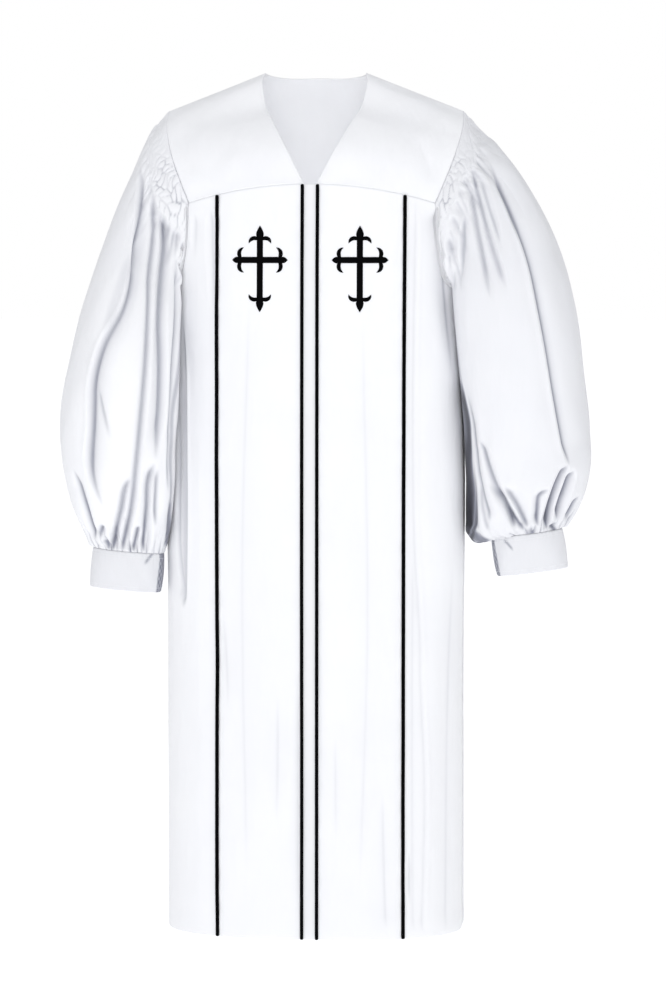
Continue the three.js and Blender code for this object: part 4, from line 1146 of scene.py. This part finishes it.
# %% Cuff cloth
CUFF_COLUMNS, CUFF_ROWS = 168, 26
CUFF_WAVES = [(0.35, 9, 14, 1), (0.25, -6, 9, 3), (0.2, 4, -7, 5)]
# The even floor of painted shade over the whole cuff.
CUFF_SHADE_FLOOR = 0.18
TOPSTITCH = 4.0                  # from a cuff's edge to its row of stitches


def cuff(name, side, table, lean, strokes, seed):
    turn = 2 * np.pi * np.arange(CUFF_COLUMNS) / CUFF_COLUMNS
    ring = sleeve_section(table[-1], turn)
    out_x, out_z, in_x, in_z, mid_y = table[-1][:5]
    across = unit(np.array([out_x - in_x, 0, out_z - in_z]))
    down = np.array([across[2], 0, -across[0]])
    share = shares(CUFF_ROWS, CUFF_HEIGHT)[:, None]
    grid = ring[None] + down * ((2 * HALF_GAP + CUFF_HEIGHT * share)[..., None])
    grid[..., 0] += lean * share
    middle = np.array([(out_x + in_x) / 2, mid_y, (out_z + in_z) / 2])
    way = unit(ring - middle)[None]
    around = np.broadcast_to(turn, grid.shape[:2])
    drop = CUFF_HEIGHT * share
    chance = np.random.default_rng(seed)
    relief = 1.4 * np.sin(np.pi * share) - edge_sink(drop, 1.0) - edge_sink(CUFF_HEIGHT - drop, 0.9)
    relief = relief + waves(around * 45, drop, CUFF_WAVES)
    relief += 0.6 * np.exp(-drop / 7) * np.sin(52 * around + chance.uniform(0, 6))
    for from_edge in (drop, CUFF_HEIGHT - drop):
        relief -= 0.45 * np.exp(-((from_edge - TOPSTITCH) / 0.8) ** 2)
    outer = grid + way * relief[..., None]
    inner = grid - way * (CLOTH - 0.4 * edge_sink(CUFF_HEIGHT - drop, 0.9))[..., None]
    outer[..., 0] *= side
    inner[..., 0] *= side
    # Painted shade: a darker, speckled strip on the side turned to the body, the pinched crease, and the even
    # floor.
    shade_speckle = 1.05 + 0.45 * np.sin(9 * drop) * np.sin(140 * around)
    turned_away_shade = smooth((-np.cos(around) - 0.86) / 0.05) * shade_speckle
    pinched_shade = folded(*seen(outer), strokes)[1] * (outer[..., 1] < middle[1])
    crease_shade = np.maximum(np.maximum(turned_away_shade, pinched_shade), CUFF_SHADE_FLOOR)
    return shell(name, outer, inner, ring=True, crease_shade=crease_shade), outer


cuff_left_cloth, cuff_left_grid = cuff("cuff_left_cloth", LEFT, SLEEVE_LEFT, 1, LEFT_CUFF_STROKES, 5)
cuff_right_cloth, cuff_right_grid = cuff("cuff_right_cloth", RIGHT, SLEEVE_RIGHT, 2, RIGHT_CUFF_STROKES, 6)

# %% [markdown]
# ## Pipings
# A piping is a cord wrapped in a bias strip of black cloth and caught in the seam, so it
# stands up as a half-round rib. Its upper end is tucked in and rounded. It follows the
# panel below it, folds and all, because its rings are laid on the same surface.

# %% Piping ribs
PIPING_HEIGHT = 3.0
PIPING_ROWS, PIPING_COLUMNS = 420, 18


def piping_rib(name, x):
    top, low = float(front_seam_z(x)) - 0.5, HEM_Z + 0.2
    ring_z = np.concatenate([
        top - np.array([0, 0.15, 0.5, 1.1, 1.9]),
        np.linspace(top - 3, low + 2.6, PIPING_ROWS),
        low + np.array([1.7, 1.0, 0.4, 0.1, 0]),
    ])
    rounding = np.ones(len(ring_z))
    rounding[:5] = [0.1, 0.42, 0.68, 0.86, 0.97]
    rounding[-5:] = [0.97, 0.88, 0.7, 0.45, 0.1]
    angle = 2 * np.pi * np.arange(PIPING_COLUMNS) / PIPING_COLUMNS
    z, a = np.meshgrid(ring_z, angle, indexing="ij")
    size = rounding[:, None]
    height = 0.35 + PIPING_HEIGHT / 2 * (1 + size * np.sin(a))
    ripple = 0.06 * np.sin(z / 2.1 + 1.3 * np.sin(a))
    co = front_point(x + size * PIPING_HALF * np.cos(a), z, height + ripple)
    rows, cols = co.shape[:2]
    number = np.arange(rows * cols).reshape(rows, cols)
    faces = grid_faces(np.concatenate([number, number[:, :1]], axis=1))
    for cap in (number[0].tolist(), number[-1][::-1].tolist()):
        faces += [(cap[0], cap[k + 1], cap[k]) for k in range(1, cols - 1)]
    flat = np.stack([a * 2.4, z], axis=-1).reshape(-1, 2)
    return plain_mesh(name, co.reshape(-1, 3), faces, flat)


PIPING_X = {
    "piping_outer_left": -PIPING_OUTER_X, "piping_inner_left": -PIPING_INNER_X,
    "piping_inner_right": PIPING_INNER_X, "piping_outer_right": PIPING_OUTER_X,
}
pipings = {name: piping_rib(name + "_rib", x) for name, x in PIPING_X.items()}

# %% [markdown]
# ## Embroidered crosses
# A fleury cross in satin stitch: the thread goes from edge to edge over a padding, row
# beside row, so each arm is a soft dome with fine ribs across it. Every arm ends in a
# pointed bud between two petals that curl back. Each part is one strip, a middle line with
# a half width at each place, and the strips overlap where the needle went over them twice.

# %% Satin stitch strips
THREAD_ROW = 0.55                # distance between two rows of thread
CROSS_X, CROSS_Z = 73.3, -246.0
BAR_HALF = 4.5
UP_ARM, SIDE_ARM, DOWN_ARM = 50.0, 41.0, 76.0
LONG_END, SHORT_END = 20.0, 15.0     # how far before the tips the bars stop
# Strips of an arm: distance back from its tip, distance to the side, half width.
LONG_BUD = [
    (26, 0, 4.5), (19, 0, 4.5), (15.5, 0, 5.0), (13, 0, 5.5), (10, 0, 5.1), (7, 0, 4.1), (3.5, 0, 2.3),
    (0, 0, 0.15),
]
LONG_PETAL = [
    (19.5, 1.5, 2.2), (18.6, 5, 2.7), (18.2, 9, 3.0), (19.6, 12.6, 2.7), (22.4, 15, 1.7),
    (25.6, 16.3, 0.2),
]
SHORT_BUD = [(20, 0, 4.5), (12, 0, 4.5), (8, 0, 4.7), (5, 0, 4.3), (2.5, 0, 2.7), (0, 0, 0.15)]
SHORT_PETAL = [
    (12, 1.5, 2.2), (11, 5, 2.7), (10.2, 9.5, 3.0), (11, 13, 2.7), (13.6, 16.2, 1.7), (17, 18.2, 0.2),
]
# Length, direction across and up, and the strips at the end.
ARMS = [
    (UP_ARM, 0, 1, LONG_BUD, LONG_PETAL), (SIDE_ARM, 1, 0, SHORT_BUD, SHORT_PETAL),
    (DOWN_ARM, 0, -1, LONG_BUD, LONG_PETAL), (SIDE_ARM, -1, 0, SHORT_BUD, SHORT_PETAL),
]


def strip(line, half, dome, centre, thread_lift):
    """One satin strip: its points on the cloth and its faces."""
    size = np.linalg.norm(np.diff(line, axis=0), axis=1)
    along = np.concatenate([[0], np.cumsum(size)])
    count = max(6, int(round(along[-1] / THREAD_ROW)) * 2)
    at = np.linspace(0, along[-1], count + 1)
    place, width = through(along, line)(at), np.maximum(through(along, half)(at), 0.12)
    way = unit(np.gradient(place, axis=0))
    beside = np.stack([-way[:, 1], way[:, 0]], axis=-1)
    v = np.linspace(-1, 1, 9)
    flat = place[:, None] + beside[:, None] * (v[None, :, None] * width[:, None, None])
    row = np.where(np.arange(count + 1) % 2, 0.09, -0.05)[:, None]
    rise = dome * np.sqrt(np.maximum(0, 1 - v ** 2))[None] * np.minimum(1, width / 2.6)[:, None] ** 0.6
    height = 0.35 + thread_lift + rise + row * (np.abs(v) < 0.95)
    x, z = centre[0] + flat[..., 0], centre[1] + flat[..., 1]
    upper, lower = front_point(x, z, height), front_point(x, z, 0.05 + 0 * height)
    rows, cols = height.shape
    a = np.arange(rows * cols).reshape(rows, cols)
    faces = shell_faces(a, a + rows * cols)
    across = np.broadcast_to(v * 4, height.shape)
    uv = np.stack([across, np.broadcast_to(at[:, None], height.shape)], axis=-1).reshape(-1, 2)
    co = np.concatenate([upper.reshape(-1, 3), lower.reshape(-1, 3)])
    return co, faces, np.concatenate([uv, uv])


def embroidered_cross(name, side):
    centre = (side * CROSS_X, CROSS_Z)
    bar_half = np.full(3, BAR_HALF)
    strips = [
        (np.array([(0, UP_ARM - LONG_END), (0, 0), (0, LONG_END - DOWN_ARM)]), bar_half, 1.0, 0.0),
        (np.array([(SHORT_END - SIDE_ARM, 0), (0, 0), (SIDE_ARM - SHORT_END, 0)]), bar_half, 1.0, 0.25),
    ]
    for length, dx, dz, bud, petal in ARMS:
        for part, way, dome, lift in ((bud, 1, 1.1, 0.1), (petal, -1, 1.0, 0.0), (petal, 1, 1.0, 0.0)):
            back, out, half = np.array(part).T
            forth, out = length - back, way * out
            line = np.stack([dx * forth + dz * out, dz * forth - dx * out], axis=-1)
            strips.append((line, half, dome, lift))
    co, faces, uv, start = [], [], [], 0
    for line, half, dome, lift in strips:
        some, some_faces, some_uv = strip(line, half, dome, centre, lift)
        a, b, c = some_faces[0][:3]
        normal = np.cross(some[b] - some[a], some[c] - some[a])
        if normal[1] > 0:
            some_faces = [tuple(reversed(f)) for f in some_faces]
        faces += [tuple(i + start for i in f) for f in some_faces]
        co.append(some)
        uv.append(some_uv)
        start += len(some)
    return plain_mesh(name, np.concatenate(co), faces, np.concatenate(uv))


crosses = {
    "cross_left": embroidered_cross("cross_left_satin", LEFT),
    "cross_right": embroidered_cross("cross_right_satin", RIGHT),
}

# %% [markdown]
# ## Finishes
# Three small node groups carry the effects that several finishes share: a plain weave that
# follows each piece's own cloth coordinates, soft creases in the body of the cloth, and a
# faint unevenness of tone, with painted shade in the folds. Each finish keeps its own shader
# and sets its even values there.

# %% Node groups
# Painted shade darkens further towards this colour where the crease shade passes 1.
NO_LIGHT = (0.03, 0.03, 0.04, 1)     # the colour where a crease is deeper than its deep tone


def new_group(name, inputs, outputs):
    tree = bpy.data.node_groups.new(name, "ShaderNodeTree")
    for label, kind, default in inputs:
        socket = tree.interface.new_socket(name=label, in_out="INPUT", socket_type=kind)
        socket.default_value = default
    for label, kind in outputs:
        tree.interface.new_socket(name=label, in_out="OUTPUT", socket_type=kind)
    return tree, tree.nodes.new("NodeGroupInput"), tree.nodes.new("NodeGroupOutput")


def add(tree, kind, inputs=None, **settings):
    """A new node with these settings, each input given a value or linked to a socket."""
    node = tree.nodes.new(kind)
    for label, value in settings.items():
        setattr(node, label, value)
    for label, value in (inputs or {}).items():
        if isinstance(value, bpy.types.NodeSocket):
            tree.links.new(value, node.inputs[label])
        else:
            node.inputs[label].default_value = value
    return node


def maths(tree, operation, *values):
    return add(tree, "ShaderNodeMath", dict(enumerate(values)), operation=operation).outputs[0]


def weave_group():
    """Plain weave: threads across and down take turns on top."""
    inputs, outputs = [("Thread", "NodeSocketFloat", 0.0005)], [("Height", "NodeSocketFloat")]
    tree, given, result = new_group("plain_weave", inputs, outputs)
    uv = add(tree, "ShaderNodeUVMap", uv_map="cloth")
    split = add(tree, "ShaderNodeSeparateXYZ", {0: uv.outputs[0]})
    x, y = [maths(tree, "DIVIDE", split.outputs[i], given.outputs["Thread"]) for i in (0, 1)]
    turns = [maths(tree, "SINE", maths(tree, "MULTIPLY", way, math.pi)) for way in (x, y)]
    warp, weft = [maths(tree, "ABSOLUTE", turn) for turn in turns]
    cell = maths(tree, "ADD", maths(tree, "FLOOR", x), maths(tree, "FLOOR", y))
    odd = maths(tree, "ABSOLUTE", maths(tree, "MODULO", cell, 2.0))
    over = maths(tree, "MULTIPLY", warp, odd)
    under = maths(tree, "MULTIPLY", weft, maths(tree, "SUBTRACT", 1.0, odd))
    tree.links.new(maths(tree, "ADD", over, under), result.inputs["Height"])
    return tree


def crease_group():
    """Soft creases: noise drawn out down the cloth."""
    inputs = [("Stretch", "NodeSocketVector", (22.0, 22.0, 7.0)), ("Detail", "NodeSocketFloat", 3.0)]
    tree, given, result = new_group("soft_creases", inputs, [("Height", "NodeSocketFloat")])
    place = add(tree, "ShaderNodeTexCoord")
    scaled = add(tree, "ShaderNodeVectorMath", {0: place.outputs["Object"], 1: given.outputs["Stretch"]},
                 operation="MULTIPLY")
    noise = add(tree, "ShaderNodeTexNoise", {
        "Scale": 1.0, "Roughness": 0.45, "Detail": given.outputs["Detail"], "Vector": scaled.outputs[0]})
    tree.links.new(noise.outputs["Fac"], result.inputs["Height"])
    return tree


def tone_group():
    """Faint unevenness between a light and a shaded tone of the same cloth, and painted shade towards a deep
    tone where the mesh's crease shade is high.
    """
    inputs = [
        ("Light", "NodeSocketColor", (0.9, 0.9, 0.9, 1)), ("Shade", "NodeSocketColor", (0.8, 0.8, 0.8, 1)),
        ("Painted shade", "NodeSocketColor", (0.6, 0.6, 0.7, 1)), ("Scale", "NodeSocketFloat", 9.0),
        ("Rough low", "NodeSocketFloat", 0.5), ("Rough high", "NodeSocketFloat", 0.6),
    ]
    outputs = [("Color", "NodeSocketColor"), ("Roughness", "NodeSocketFloat")]
    tree, given, result = new_group("soft_tone", inputs, outputs)
    place = add(tree, "ShaderNodeTexCoord")
    noise = add(tree, "ShaderNodeTexNoise", {
        "Detail": 4.0, "Vector": place.outputs["Object"], "Scale": given.outputs["Scale"]})
    depth = add(tree, "ShaderNodeAttribute", attribute_name="crease_shade")
    past_deep = maths(tree, "SUBTRACT", depth.outputs["Fac"], 1.0)
    color = given.outputs["Light"]
    for factor, other in [(noise.outputs["Fac"], given.outputs["Shade"]),
                          (depth.outputs["Fac"], given.outputs["Painted shade"]), (past_deep, NO_LIGHT)]:
        mixed = add(tree, "ShaderNodeMix", {"Factor": factor, "A": color, "B": other},
                    data_type="RGBA", clamp_factor=True)
        color = mixed.outputs["Result"]
    tree.links.new(color, result.inputs["Color"])
    spread = add(tree, "ShaderNodeMapRange", {
        "Value": noise.outputs["Fac"], "To Min": given.outputs["Rough low"],
        "To Max": given.outputs["Rough high"]})
    tree.links.new(spread.outputs["Result"], result.inputs["Roughness"])
    return tree


WEAVE, CREASES, TONE = weave_group(), crease_group(), tone_group()
print("node groups:", [group.name for group in (WEAVE, CREASES, TONE)])

# %% [markdown]
# The white cloth is a smooth polyester with a soft bloom, so it gets a little sheen and a
# middling roughness. The black cord and the satin thread are darker and a bit glossier.
# A cool grey in the tone keeps the white from looking like plaster, and a deeper grey is painted shade in the
# folds and between layers.

# %% Finishes
def finish(name, light, shade, deep, rough, sheen, thread, weave_depth, crease_depth, scale):
    made = bpy.data.materials.new(name)
    made.use_nodes = True
    tree = made.node_tree
    tone = add(tree, "ShaderNodeGroup", {
        "Light": (*light, 1), "Shade": (*shade, 1), "Painted shade": (*deep, 1), "Scale": scale,
        "Rough low": rough - 0.06, "Rough high": rough + 0.06}, node_tree=TONE)
    weave = add(tree, "ShaderNodeGroup", {"Thread": thread}, node_tree=WEAVE)
    fine = add(tree, "ShaderNodeBump", {"Distance": weave_depth, "Height": weave.outputs["Height"]})
    crease_shade = add(tree, "ShaderNodeGroup", node_tree=CREASES)
    soft = add(tree, "ShaderNodeBump", {
        "Distance": crease_depth, "Height": crease_shade.outputs["Height"], "Normal": fine.outputs["Normal"]})
    shader = tree.nodes["Principled BSDF"]
    for label, socket in [("Base Color", tone.outputs["Color"]), ("Roughness", tone.outputs["Roughness"]),
                          ("Normal", soft.outputs["Normal"])]:
        tree.links.new(socket, shader.inputs[label])
    shader.inputs["Sheen Weight"].default_value = sheen
    shader.inputs["Sheen Roughness"].default_value = 0.45
    shader.inputs["Specular IOR Level"].default_value = 0.3 if sheen > 0 else 0.02
    return made


# The deep tone is painted shade: the colour the white takes deep in a fold.
PAINTED_SHADE_WHITE = (0.30, 0.31, 0.37)
BLACK = (0.001, 0.001, 0.0012)
SOFT_BLACK = (0.0025, 0.0025, 0.003)
# Light, shaded and deep tone (the deep tone is painted shade), roughness, sheen, thread width, depths of
# weave and creases, tone scale.
FINISHES = {
    "white_cloth": (
        (0.93, 0.935, 0.95), (0.88, 0.885, 0.915), PAINTED_SHADE_WHITE, 0.55, 0.2, 0.0006, 0.00003, 0.004, 9.0),
    "placket_cloth": (
        (0.925, 0.925, 0.935), (0.88, 0.885, 0.905), PAINTED_SHADE_WHITE, 0.6, 0.15, 0.0006, 0.00004, 0.002, 9.0),
    "black_piping": (BLACK, SOFT_BLACK, BLACK, 0.75, 0.0, 0.0005, 0.00006, 0.0005, 60.0),
    "black_embroidery": (BLACK, SOFT_BLACK, BLACK, 0.5, 0.0, 0.00055, 0.00005, 0.0004, 90.0),
    "stitch_thread": (
        (0.92, 0.92, 0.94), (0.86, 0.87, 0.9), PAINTED_SHADE_WHITE, 0.5, 0.2, 0.0003, 0.00003, 0.0002, 120.0),
}
finishes = {name: finish(name, *values) for name, values in FINISHES.items()}

# The finish of each piece, under the solid that it stands for.
dressed = {
    "white_cloth": {
        "back": back_cloth, "front_side_left": side_left_cloth, "front_side_right": side_right_cloth,
        "front_centre_left": centre_left_cloth, "front_centre_right": centre_right_cloth,
        "back_yoke": yoke_back_cloth, "front_yoke_left": yoke_left_cloth,
        "front_yoke_right": yoke_right_cloth, "sleeve_left": sleeve_left_cloth,
        "sleeve_right": sleeve_right_cloth, "cuff_left": cuff_left_cloth, "cuff_right": cuff_right_cloth,
    },
    "black_piping": pipings,
    "black_embroidery": crosses,
    "placket_cloth": {"zip_placket": placket_cloth_strip},
}
for slot, pieces in dressed.items():
    for piece in pieces.values():
        piece.data.materials.append(finishes[slot])
print("finishes:", list(finishes))

# %% [markdown]
# ## Stitching
# A row of stitches is the same small dash set out along a line, which is just what
# Geometry Nodes are for. The tree turns a line into a curve, sets out points at one stitch
# length, lays a dash on each with a slight seeded turn, and makes them real at the end.

# %% The stitch tree
def stitch_tree():
    tree = bpy.data.node_groups.new("stitch_row", "GeometryNodeTree")
    sockets = {}
    for label, kind, default in [
        ("Geometry", "NodeSocketGeometry", None), ("Pitch", "NodeSocketFloat", 0.0032),
        ("Dash", "NodeSocketFloat", 0.0024), ("Thread", "NodeSocketFloat", 0.00035),
        ("Sway", "NodeSocketFloat", 0.12), ("Seed", "NodeSocketInt", 1),
        ("Material", "NodeSocketMaterial", None),
    ]:
        sockets[label] = tree.interface.new_socket(name=label, in_out="INPUT", socket_type=kind)
        if default is not None:
            sockets[label].default_value = default
    tree.interface.new_socket(name="Geometry", in_out="OUTPUT", socket_type="NodeSocketGeometry")
    given = tree.nodes.new("NodeGroupInput").outputs
    line = add(tree, "GeometryNodeMeshToCurve", {"Mesh": given["Geometry"]})
    spaced = add(tree, "GeometryNodeResampleCurve", mode="LENGTH")
    tree.links.new(line.outputs["Curve"], spaced.inputs["Curve"])
    tree.links.new(given["Pitch"], spaced.inputs["Length"])
    dash = add(tree, "GeometryNodeMeshUVSphere", {"Segments": 6, "Rings": 5, "Radius": 1.0})
    half = maths(tree, "MULTIPLY", given["Dash"], 0.5)
    size = add(tree, "ShaderNodeCombineXYZ", {0: given["Thread"], 1: given["Thread"], 2: half})
    shaped = add(tree, "GeometryNodeTransform", {"Geometry": dash.outputs["Mesh"], "Scale": size.outputs[0]})
    tangent = add(tree, "GeometryNodeInputTangent")
    aligned = add(tree, "FunctionNodeAlignRotationToVector", {"Vector": tangent.outputs[0]}, axis="Z")
    low = maths(tree, "MULTIPLY", given["Sway"], -1.0)
    sway = add(tree, "FunctionNodeRandomValue", data_type="FLOAT")
    for label, socket in [("Min", low), ("Max", given["Sway"]), ("Seed", given["Seed"])]:
        tree.links.new(socket, sway.inputs[label])
    euler = add(tree, "ShaderNodeCombineXYZ", {1: sway.outputs["Value"]})
    turned = add(tree, "FunctionNodeEulerToRotation", {0: euler.outputs[0]})
    both = add(tree, "FunctionNodeRotateRotation", {
        "Rotation": aligned.outputs["Rotation"], "Rotate By": turned.outputs[0]}, rotation_space="LOCAL")
    rows = add(tree, "GeometryNodeInstanceOnPoints", {
        "Points": spaced.outputs["Curve"], "Instance": shaped.outputs["Geometry"],
        "Rotation": both.outputs["Rotation"]})
    real = add(tree, "GeometryNodeRealizeInstances", {"Geometry": rows.outputs["Instances"]})
    rounded = add(tree, "GeometryNodeSetShadeSmooth", {"Geometry": real.outputs["Geometry"]})
    painted = add(tree, "GeometryNodeSetMaterial", {
        "Geometry": rounded.outputs["Geometry"], "Material": given["Material"]})
    add(tree, "NodeGroupOutput", {"Geometry": painted.outputs["Geometry"]})
    return tree, {label: socket.identifier for label, socket in sockets.items()}


STITCH_TREE, STITCH_INPUT = stitch_tree()


def stitched(name, lines, pitch, dash, thread, seed):
    """Rows of stitches along lines of millimetre points, as one plain mesh."""
    co, edges = [], []
    for line in lines:
        start = sum(len(some) for some in co)
        co.append(np.asarray(line, float))
        edges += [(start + i, start + i + 1) for i in range(len(line) - 1)]
    mesh = bpy.data.meshes.new(name + "_line")
    mesh.from_pydata((np.concatenate(co) * MM).tolist(), edges, [])
    guide = placed(name + "_line", mesh)
    nodes = guide.modifiers.new("stitches", "NODES")
    nodes.node_group = STITCH_TREE
    given = {"Pitch": pitch * MM, "Dash": dash * MM, "Thread": thread * MM, "Seed": seed,
             "Material": finishes["stitch_thread"]}
    for label, value in given.items():
        nodes[STITCH_INPUT[label]] = value
    bpy.context.view_layer.update()
    made = bpy.data.meshes.new_from_object(guide.evaluated_get(bpy.context.evaluated_depsgraph_get()))
    made.name = name
    bpy.data.objects.remove(guide)
    if not made.materials:
        made.materials.append(finishes["stitch_thread"])
    print(name, len(made.polygons), "faces")
    return placed(name, made)


# %% [markdown]
# The rows lie where a sewing machine would put them: two rows on each shirred band, one
# above each yoke seam, one around the neck, one at the turned hem, and one near each edge
# of the cuffs. They are lifted so that each thread lies half in the cloth.

# %% Rows of stitching
def closed_line(ring):
    return np.concatenate([ring, ring[:1]])


def grid_row(grid, row):
    """A line round a grid of rows and columns, through one row number in each column."""
    return closed_line(grid[row, np.arange(grid.shape[1])])


def lifted(line, height):
    centre = line.mean(axis=0)
    return line + unit(line - centre) * height


def yoke_row(side):
    s = np.linspace(0.012, 0.985, 90)
    height = np.linalg.norm(lower_seam(s) - shoulder_seam(s), axis=-1)
    p = front_yoke_point(s, 1 - 2.6 / height)
    p[:, 0] *= side
    return p - to_spine(p) * 0.1


def neck_row(side):
    t = np.linspace(0.02, 0.985, 90)
    p = front_yoke_point(np.full_like(t, 4.0 / 150), t)
    p[:, 0] *= side
    return p + np.array([0.0, -0.1, 0.05])


back_s = np.linspace(-0.985, 0.985, 180)
back_row = back_dome(back_s, np.full_like(back_s, np.pi / 2 - 0.03)) + np.array([0.0, 0.1, 0.0])
neck_s = np.linspace(-NECK_X / TIP_X, NECK_X / TIP_X, 110) * 0.985
back_neck = back_dome(neck_s, neck_turn(neck_s) + 0.05) + np.array([0.0, 0.05, 0.1])
hem_turn = np.linspace(-np.pi, np.pi, 900)
hem_row = body_point(hem_turn, np.full_like(hem_turn, HEM_Z + HEM_TURN), 0.05)

THREADS = (3.0, 2.2, 0.3)        # stitch length, dash and thread of a fine row, in millimetres
BAND_THREADS = (3.4, 2.6, 0.4)
HEM_THREADS = (7.5, 1.6, 0.26)


def band_rows(grid, row):
    return [lifted(grid_row(grid, place), 0.15) for place in (2, row)]


def cuff_rows(grid):
    return [lifted(closed_line(grid[place]), 0.12) for place in (6, -7)]


stitches = [
    stitched("sleeve_left_stitches", band_rows(left_grid, left_row), *BAND_THREADS, seed=3),
    stitched("sleeve_right_stitches", band_rows(right_grid, right_row), *BAND_THREADS, seed=4),
    stitched("yoke_stitches", [yoke_row(LEFT), yoke_row(RIGHT), back_row], *THREADS, seed=5),
    stitched("neck_stitches", [neck_row(LEFT), neck_row(RIGHT), back_neck], *THREADS, seed=6),
    stitched("hem_stitches", [hem_row], *HEM_THREADS, seed=7),
    stitched("cuff_left_stitches", cuff_rows(cuff_left_grid), *THREADS, seed=8),
    stitched("cuff_right_stitches", cuff_rows(cuff_right_grid), *THREADS, seed=9),
]

# %% [markdown]
# ## Which solid each piece stands for
# Every piece rides on the robe's one body and names the solid it replaces, so the solid
# stays for collision and isn't shown.

# %% Riding and replacing
for slot, pieces in dressed.items():
    for node, piece in pieces.items():
        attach(piece, "root")
        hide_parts(node)
for piece in stitches:
    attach(piece, "root")

# %% [markdown]
# ## Floor and light
# A white robe against white needs gentle light. A large soft lamp stands near the camera,
# so that whatever turns away from it falls into a light grey, and the pale surroundings
# fill in the rest. The floor is wide and pale and lies just below the hem.

# %% Floor
FLOOR_Z = -1.33
SPREAD = 30.0
floor_mesh = bpy.data.meshes.new("studio_floor")
corners = [(SPREAD * x, SPREAD * y, FLOOR_Z) for x, y in ((-1, -1), (1, -1), (1, 1), (-1, 1))]
floor_mesh.from_pydata(corners, [], [(0, 1, 2, 3)])
floor = placed("studio_floor", floor_mesh)
paper = bpy.data.materials.new("studio_paper")
paper.use_nodes = True
paper_look = {
    "Base Color": (0.93, 0.93, 0.94, 1), "Roughness": 0.95, "Specular IOR Level": 0.0,
    "Emission Color": (1, 1, 1, 1), "Emission Strength": 0.58,
}
for label, value in paper_look.items():
    paper.node_tree.nodes["Principled BSDF"].inputs[label].default_value = value
floor_mesh.materials.append(paper)

# %% Light
def lamp(name, location, aim, size, power):
    data = bpy.data.lights.new(name, "AREA")
    data.shape = "RECTANGLE"
    data.size, data.size_y = size
    data.energy = power
    made = placed(name, data)
    made.location = location
    way = np.array(aim, float) - np.array(location, float)
    flat = math.hypot(way[0], way[1])
    made.rotation_euler = (math.atan2(flat, -way[2]), 0, math.atan2(-way[0], way[1]))
    return made


lamp("front_softbox", (0.3, -4.6, 0.4), (0, 0, -0.55), (2.6, 3.0), 44)
lamp("top_softbox", (0.0, -1.6, 2.6), (0, 0, -0.2), (2.4, 1.6), 15)
inside = lamp("inner_glow", (0.0, -0.02, -0.33), (0, 0.06, 0.0), (0.18, 0.1), 0.28)
inside.visible_camera = False

surround = bpy.data.worlds.new("pale_studio")
surround.use_nodes = True
tree = surround.node_tree
sky = tree.nodes["Background"]
sky.inputs["Color"].default_value = (0.97, 0.98, 1.0, 1)
sky.inputs["Strength"].default_value = 0.56
paper_wall = add(tree, "ShaderNodeBackground", {"Color": (1.0, 1.0, 1.0, 1), "Strength": 1.0})
looked_at = add(tree, "ShaderNodeLightPath")
either = add(tree, "ShaderNodeMixShader", {
    "Fac": looked_at.outputs["Is Camera Ray"], 1: sky.outputs[0], 2: paper_wall.outputs[0]})
tree.links.new(either.outputs[0], tree.nodes["World Output"].inputs["Surface"])
bpy.context.scene.world = surround
bpy.context.scene.view_settings.view_transform = "Standard"
bpy.context.scene.view_settings.look = "None"

# %% Size of the whole, and the end
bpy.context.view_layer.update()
shown = [o.data for o in bpy.data.objects if o.type == "MESH" and not o.hide_render]
print("triangles:", sum(len(face.vertices) - 2 for mesh in shown for face in mesh.polygons))
